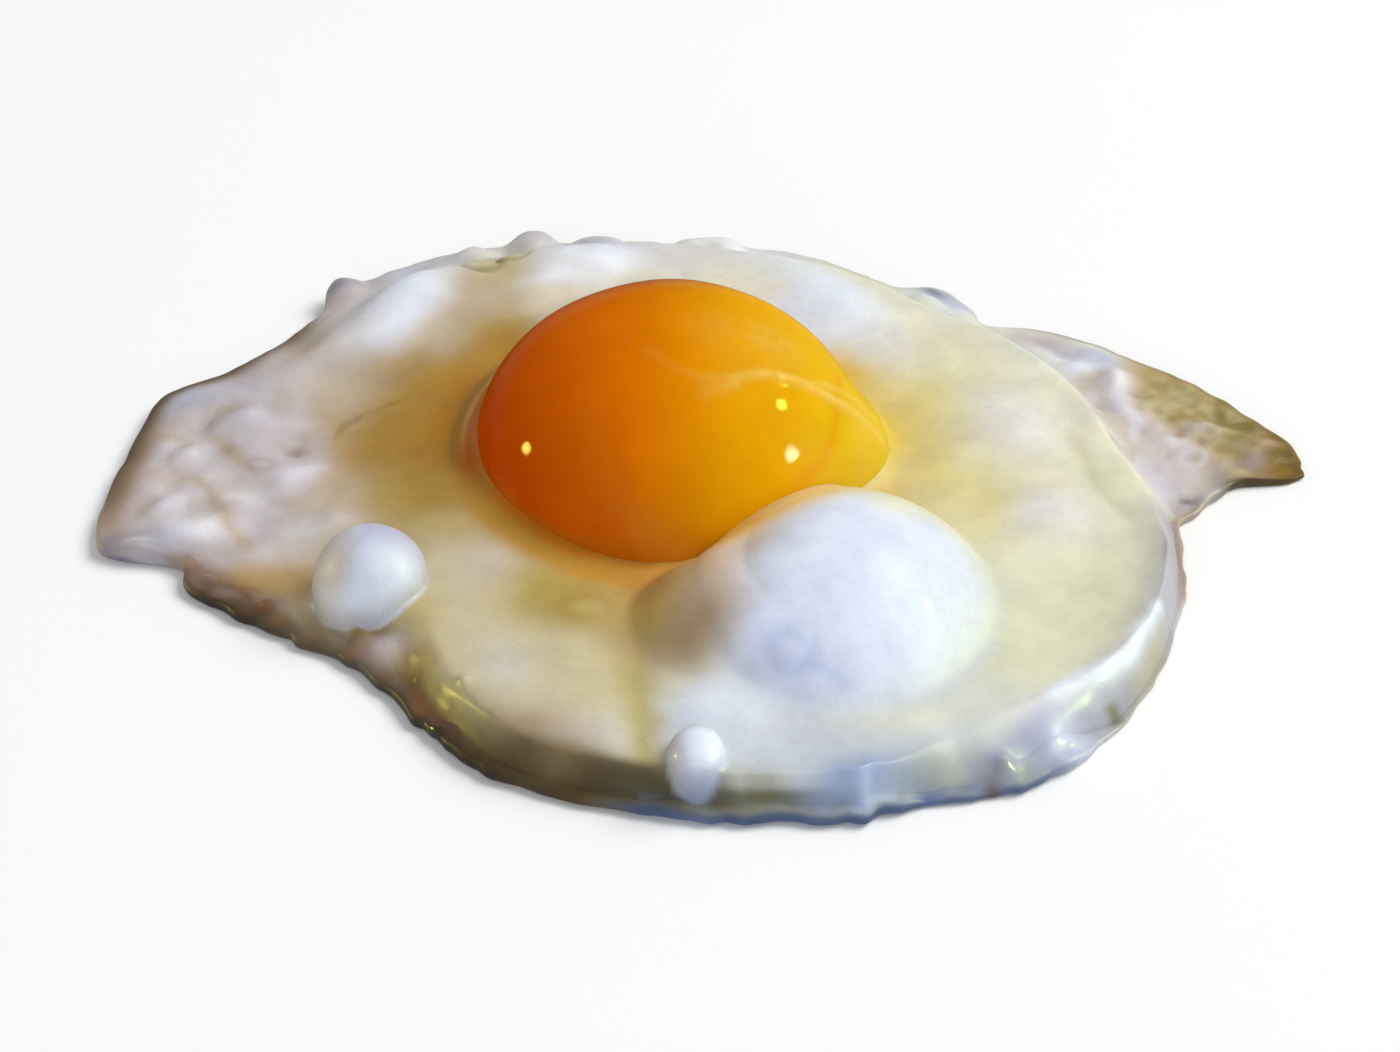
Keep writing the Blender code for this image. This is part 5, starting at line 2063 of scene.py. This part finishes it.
    def shell(self) -> Shell:
        """The white's whole surface: under the yolk, over the top, round the rim, and underneath."""
        form, yolk = self.form, self.form.yolk
        bearing = form.bearings()
        crown = self.crown(bearing)
        part = np.linspace(0.15, 0.93, form.seat_rings)[:, None]
        cx, cy = yolk.centre[:2]
        floor = yolk.bottom - self.under_yolk
        low = floor + (form.seat.at(bearing) - yolk.bottom) * part**3
        x, y = yolk.edge(bearing, np.full_like(bearing, yolk.centre[2] - 0.2), 0.4)
        seat = np.stack([cx + (x - cx) * part, cy + (y - cy) * part, low], axis=-1)
        turn = np.linspace(0, math.pi, form.rim_rings + 1)[1:, None]
        edge = crown[-1]
        reach = np.hypot(edge[:, 0], edge[:, 1])
        way = edge[:, :2] / reach[:, None]
        out = reach + form.rim_half * edge[:, 2] * np.sin(turn) - 0.2 * turn / math.pi
        fall = edge[:, 2] * (1 + np.cos(turn)) / 2
        rim = np.stack([out * way[:, 0], out * way[:, 1], fall], axis=-1)
        under = rim[-1] * np.linspace(1, 0, form.under_rings + 2)[1:-1, None, None]
        poles = (np.array([cx, cy, floor]), np.zeros(3))
        return Shell(np.concatenate([seat, crown, rim, under]), poles)

    def ground(self, points: Floats) -> Ground:
        """Measures every point for the painter."""
        x, y, z = points.T
        bearing, reach = np.degrees(np.arctan2(y, x)) % 360, np.hypot(x, y)
        yolk = self.form.yolk
        right, back = x - yolk.centre[0], y - yolk.centre[1]
        about = np.degrees(np.arctan2(back, right)) % 360
        inside = {
            Edge.RIM: self.form.rim_reach(bearing) - reach,
            Edge.LIP: self.form.lip_reach(bearing) - reach,
            Edge.FOOT: self.form.foot_reach(bearing) - reach,
            Edge.YOLK: yolk.slice_reach(about, self.form.contact(about)) - np.hypot(right, back),
        }
        return Ground(x, y, z, bearing, inside)

    def paint(self, points: Floats) -> dict[str, Floats]:
        """Colours, wetness and froth at every point; some of the colours are painted light and shade.

        The paint is laid at places shifted by slow noise, so that no patch shows its plain outline.
        """
        ground = self.ground(points)
        x, y = ground.x, ground.y
        right, back = (drift.at(x, y) for drift in self.drifts)
        drifted = replace(ground, x=x + right, y=y + back)
        tint = np.broadcast_to(Tone.CREAM.linear(), points.shape).copy()
        for layer in EGG_PAINT:
            tint = layer.lay(tint, drifted)
        for layer in BUBBLE_SKIN_AND_LIGHT:
            tint = layer.lay(tint, ground)
        tint = tint * (1 + self.mottle.at(x, y))[:, None]
        drops = tuple(Shine(Stain(bead.place), 0.9) for bead in self.wet_beads)
        wet = blend_amount(self.dampness, (*EGG_WET, *drops), ground)
        frothy = blend_amount(0.0, EGG_FROTH, ground)
        return {"tint": np.clip(tint, 0, 0.98), "wet": wet, "frothy": frothy}

    def build(self, place: Place) -> bpy.types.Object:
        """Builds the white in its place."""
        shell = self.shell()
        return shell.object("white", place, self.finish.make(), self.paint(shell.points()))


# ---- the studio ----


@dataclass(frozen=True)
class Lamp:
    """A square soft lamp aimed at the egg.

    Attributes:
        name: its name.
        bearing: where it stands, from +x, in degrees.
        elevation: how high, in degrees.
        distance_m: how far, in metres.
        side_m: the length of its side, in metres.
        power: in watts.
        colour: of its light.
        mirrored: whether wet surfaces mirror it.
        lit: whether it lights the surfaces themselves.
    """

    name: str
    bearing: float
    elevation: float
    distance_m: float
    side_m: float
    power: float
    colour: Point = (1.0, 1.0, 1.0)
    mirrored: bool = True
    lit: bool = True

    def light(self) -> None:
        """Adds the lamp to the scene."""
        lamp = bpy.data.lights.new(self.name, "AREA")
        lamp.size = self.side_m
        lamp.energy = self.power
        lamp.color = self.colour
        made = bpy.data.objects.new(self.name, lamp)
        made.visible_glossy = self.mirrored
        made.visible_diffuse = self.lit
        bearing, elevation = math.radians(self.bearing), math.radians(self.elevation)
        level = math.cos(elevation)
        way = Vector((level * math.cos(bearing), level * math.sin(bearing), math.sin(elevation)))
        made.location = way * self.distance_m
        made.rotation_euler = way.to_track_quat("Z", "Y").to_euler()
        bpy.context.scene.collection.objects.link(made)


@dataclass(frozen=True)
class Studio:
    """A pale floor, soft light from the back right, and the camera.

    Attributes:
        elevation: how high the camera stands, in degrees.
        distance_m: how far from its aim, in metres.
        field_of_view: across the long side of the view, in degrees.
        aim: what it points at on the floor, from the yolk's axis.
        floor_m: the side of the floor, in metres.
        floor_grey: the floor's shade, in linear light.
        sky_colour: of the surround.
        sky_strength: how bright that is.
        lamps: the lights.
    """

    elevation: float = 38.0
    distance_m: float = 0.300
    field_of_view: float = 28.8
    aim: tuple[float, float] = (4.26, -10.19)
    floor_m: float = 6.0
    floor_grey: float = 0.96
    sky_colour: Point = (0.93, 0.96, 1.0)
    sky_strength: float = 0.36
    lamps: tuple[Lamp, ...] = (
        Lamp("key", 16, 48, 2.4, 1.4, 46.5, (1.0, 0.99, 0.97), False),
        Lamp("front_fill", 255, 30, 2.2, 1.6, 14.0, (0.97, 0.98, 1.0), False),
        Lamp("left_glint", 174, 12, 0.8, 0.08, 7.0, (1.0, 0.92, 0.14), lit=False),
        Lamp("right_glint", 352, 23, 0.8, 0.12, 18.0, (0.75, 1.0, 0.42), lit=False),
        Lamp("top_glint", 19, 39, 0.8, 0.07, 8.0, (0.85, 1.0, 0.08), lit=False),
    )

    def floor(self) -> None:
        """Adds the floor as a stage piece with a matt pale finish."""
        half = self.floor_m / 2
        mesh = bpy.data.meshes.new("floor")
        corners = [(-half, -half, 0.0), (half, -half, 0.0), (half, half, 0.0), (-half, half, 0.0)]
        mesh.from_pydata(corners, [], [(0, 1, 2, 3)])
        bench = NodeBench("pale_floor")
        grey = self.floor_grey
        bench.constants(Base_Color=(grey, grey, grey, 1.0), Roughness=0.9, Specular_IOR_Level=0.1)
        mesh.materials.append(bench.material)
        made = bpy.data.objects.new("floor", mesh)
        made.location.z = -0.1 * MM  # just below the egg's flat underside
        bpy.context.scene.collection.objects.link(made)

    def camera(self, place: Place) -> None:
        """Adds the camera, level with the egg's long side and looking down on it."""
        lens = bpy.data.cameras.new("camera")
        lens.sensor_width = 36.0
        lens.lens = 18.0 / math.tan(math.radians(self.field_of_view / 2))
        lens.clip_start = 0.01
        made = bpy.data.objects.new("camera", lens)
        rise = math.radians(self.elevation)
        back = Vector((0.0, -math.cos(rise), math.sin(rise)))
        target = Vector((place.x + self.aim[0] * MM, place.y + self.aim[1] * MM, 0.0))
        made.location = target + back * self.distance_m
        made.rotation_euler = back.to_track_quat("Z", "Y").to_euler()
        bpy.context.scene.collection.objects.link(made)
        bpy.context.scene.camera = made

    def sky(self) -> None:
        """A plain pale surround."""
        world = bpy.data.worlds.new("studio")
        world.use_nodes = True
        surround = world.node_tree.nodes["Background"]
        surround.inputs["Color"].default_value = (*self.sky_colour, 1.0)
        surround.inputs["Strength"].default_value = self.sky_strength
        bpy.context.scene.world = world

    def build(self, place: Place) -> None:
        """Builds the whole studio."""
        self.floor()
        self.camera(place)
        self.sky()
        for lamp in self.lamps:
            lamp.light()
        bpy.context.scene.view_settings.view_transform = "Standard"


def main() -> None:
    """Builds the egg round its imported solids, then the studio."""
    logging.basicConfig(level=logging.INFO, format="%(name)s: %(message)s")
    yolk_form = YolkForm()
    place = Place.of_yolk()
    pieces = (
        (White(WhiteForm(yolk_form)).build(place), "egg_white", "set_white"),
        (Yolk(yolk_form).build(place), "egg_yolk", "yolk_orange"),
    )
    for piece, node, slot in pieces:
        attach(piece, "root")
        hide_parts(node)
        log.info("%s: %d faces in place of %s", piece.name, len(piece.data.polygons), node)
    Studio().build(place)
    log.info("sizes written")


if __name__ == "__main__":
    main()
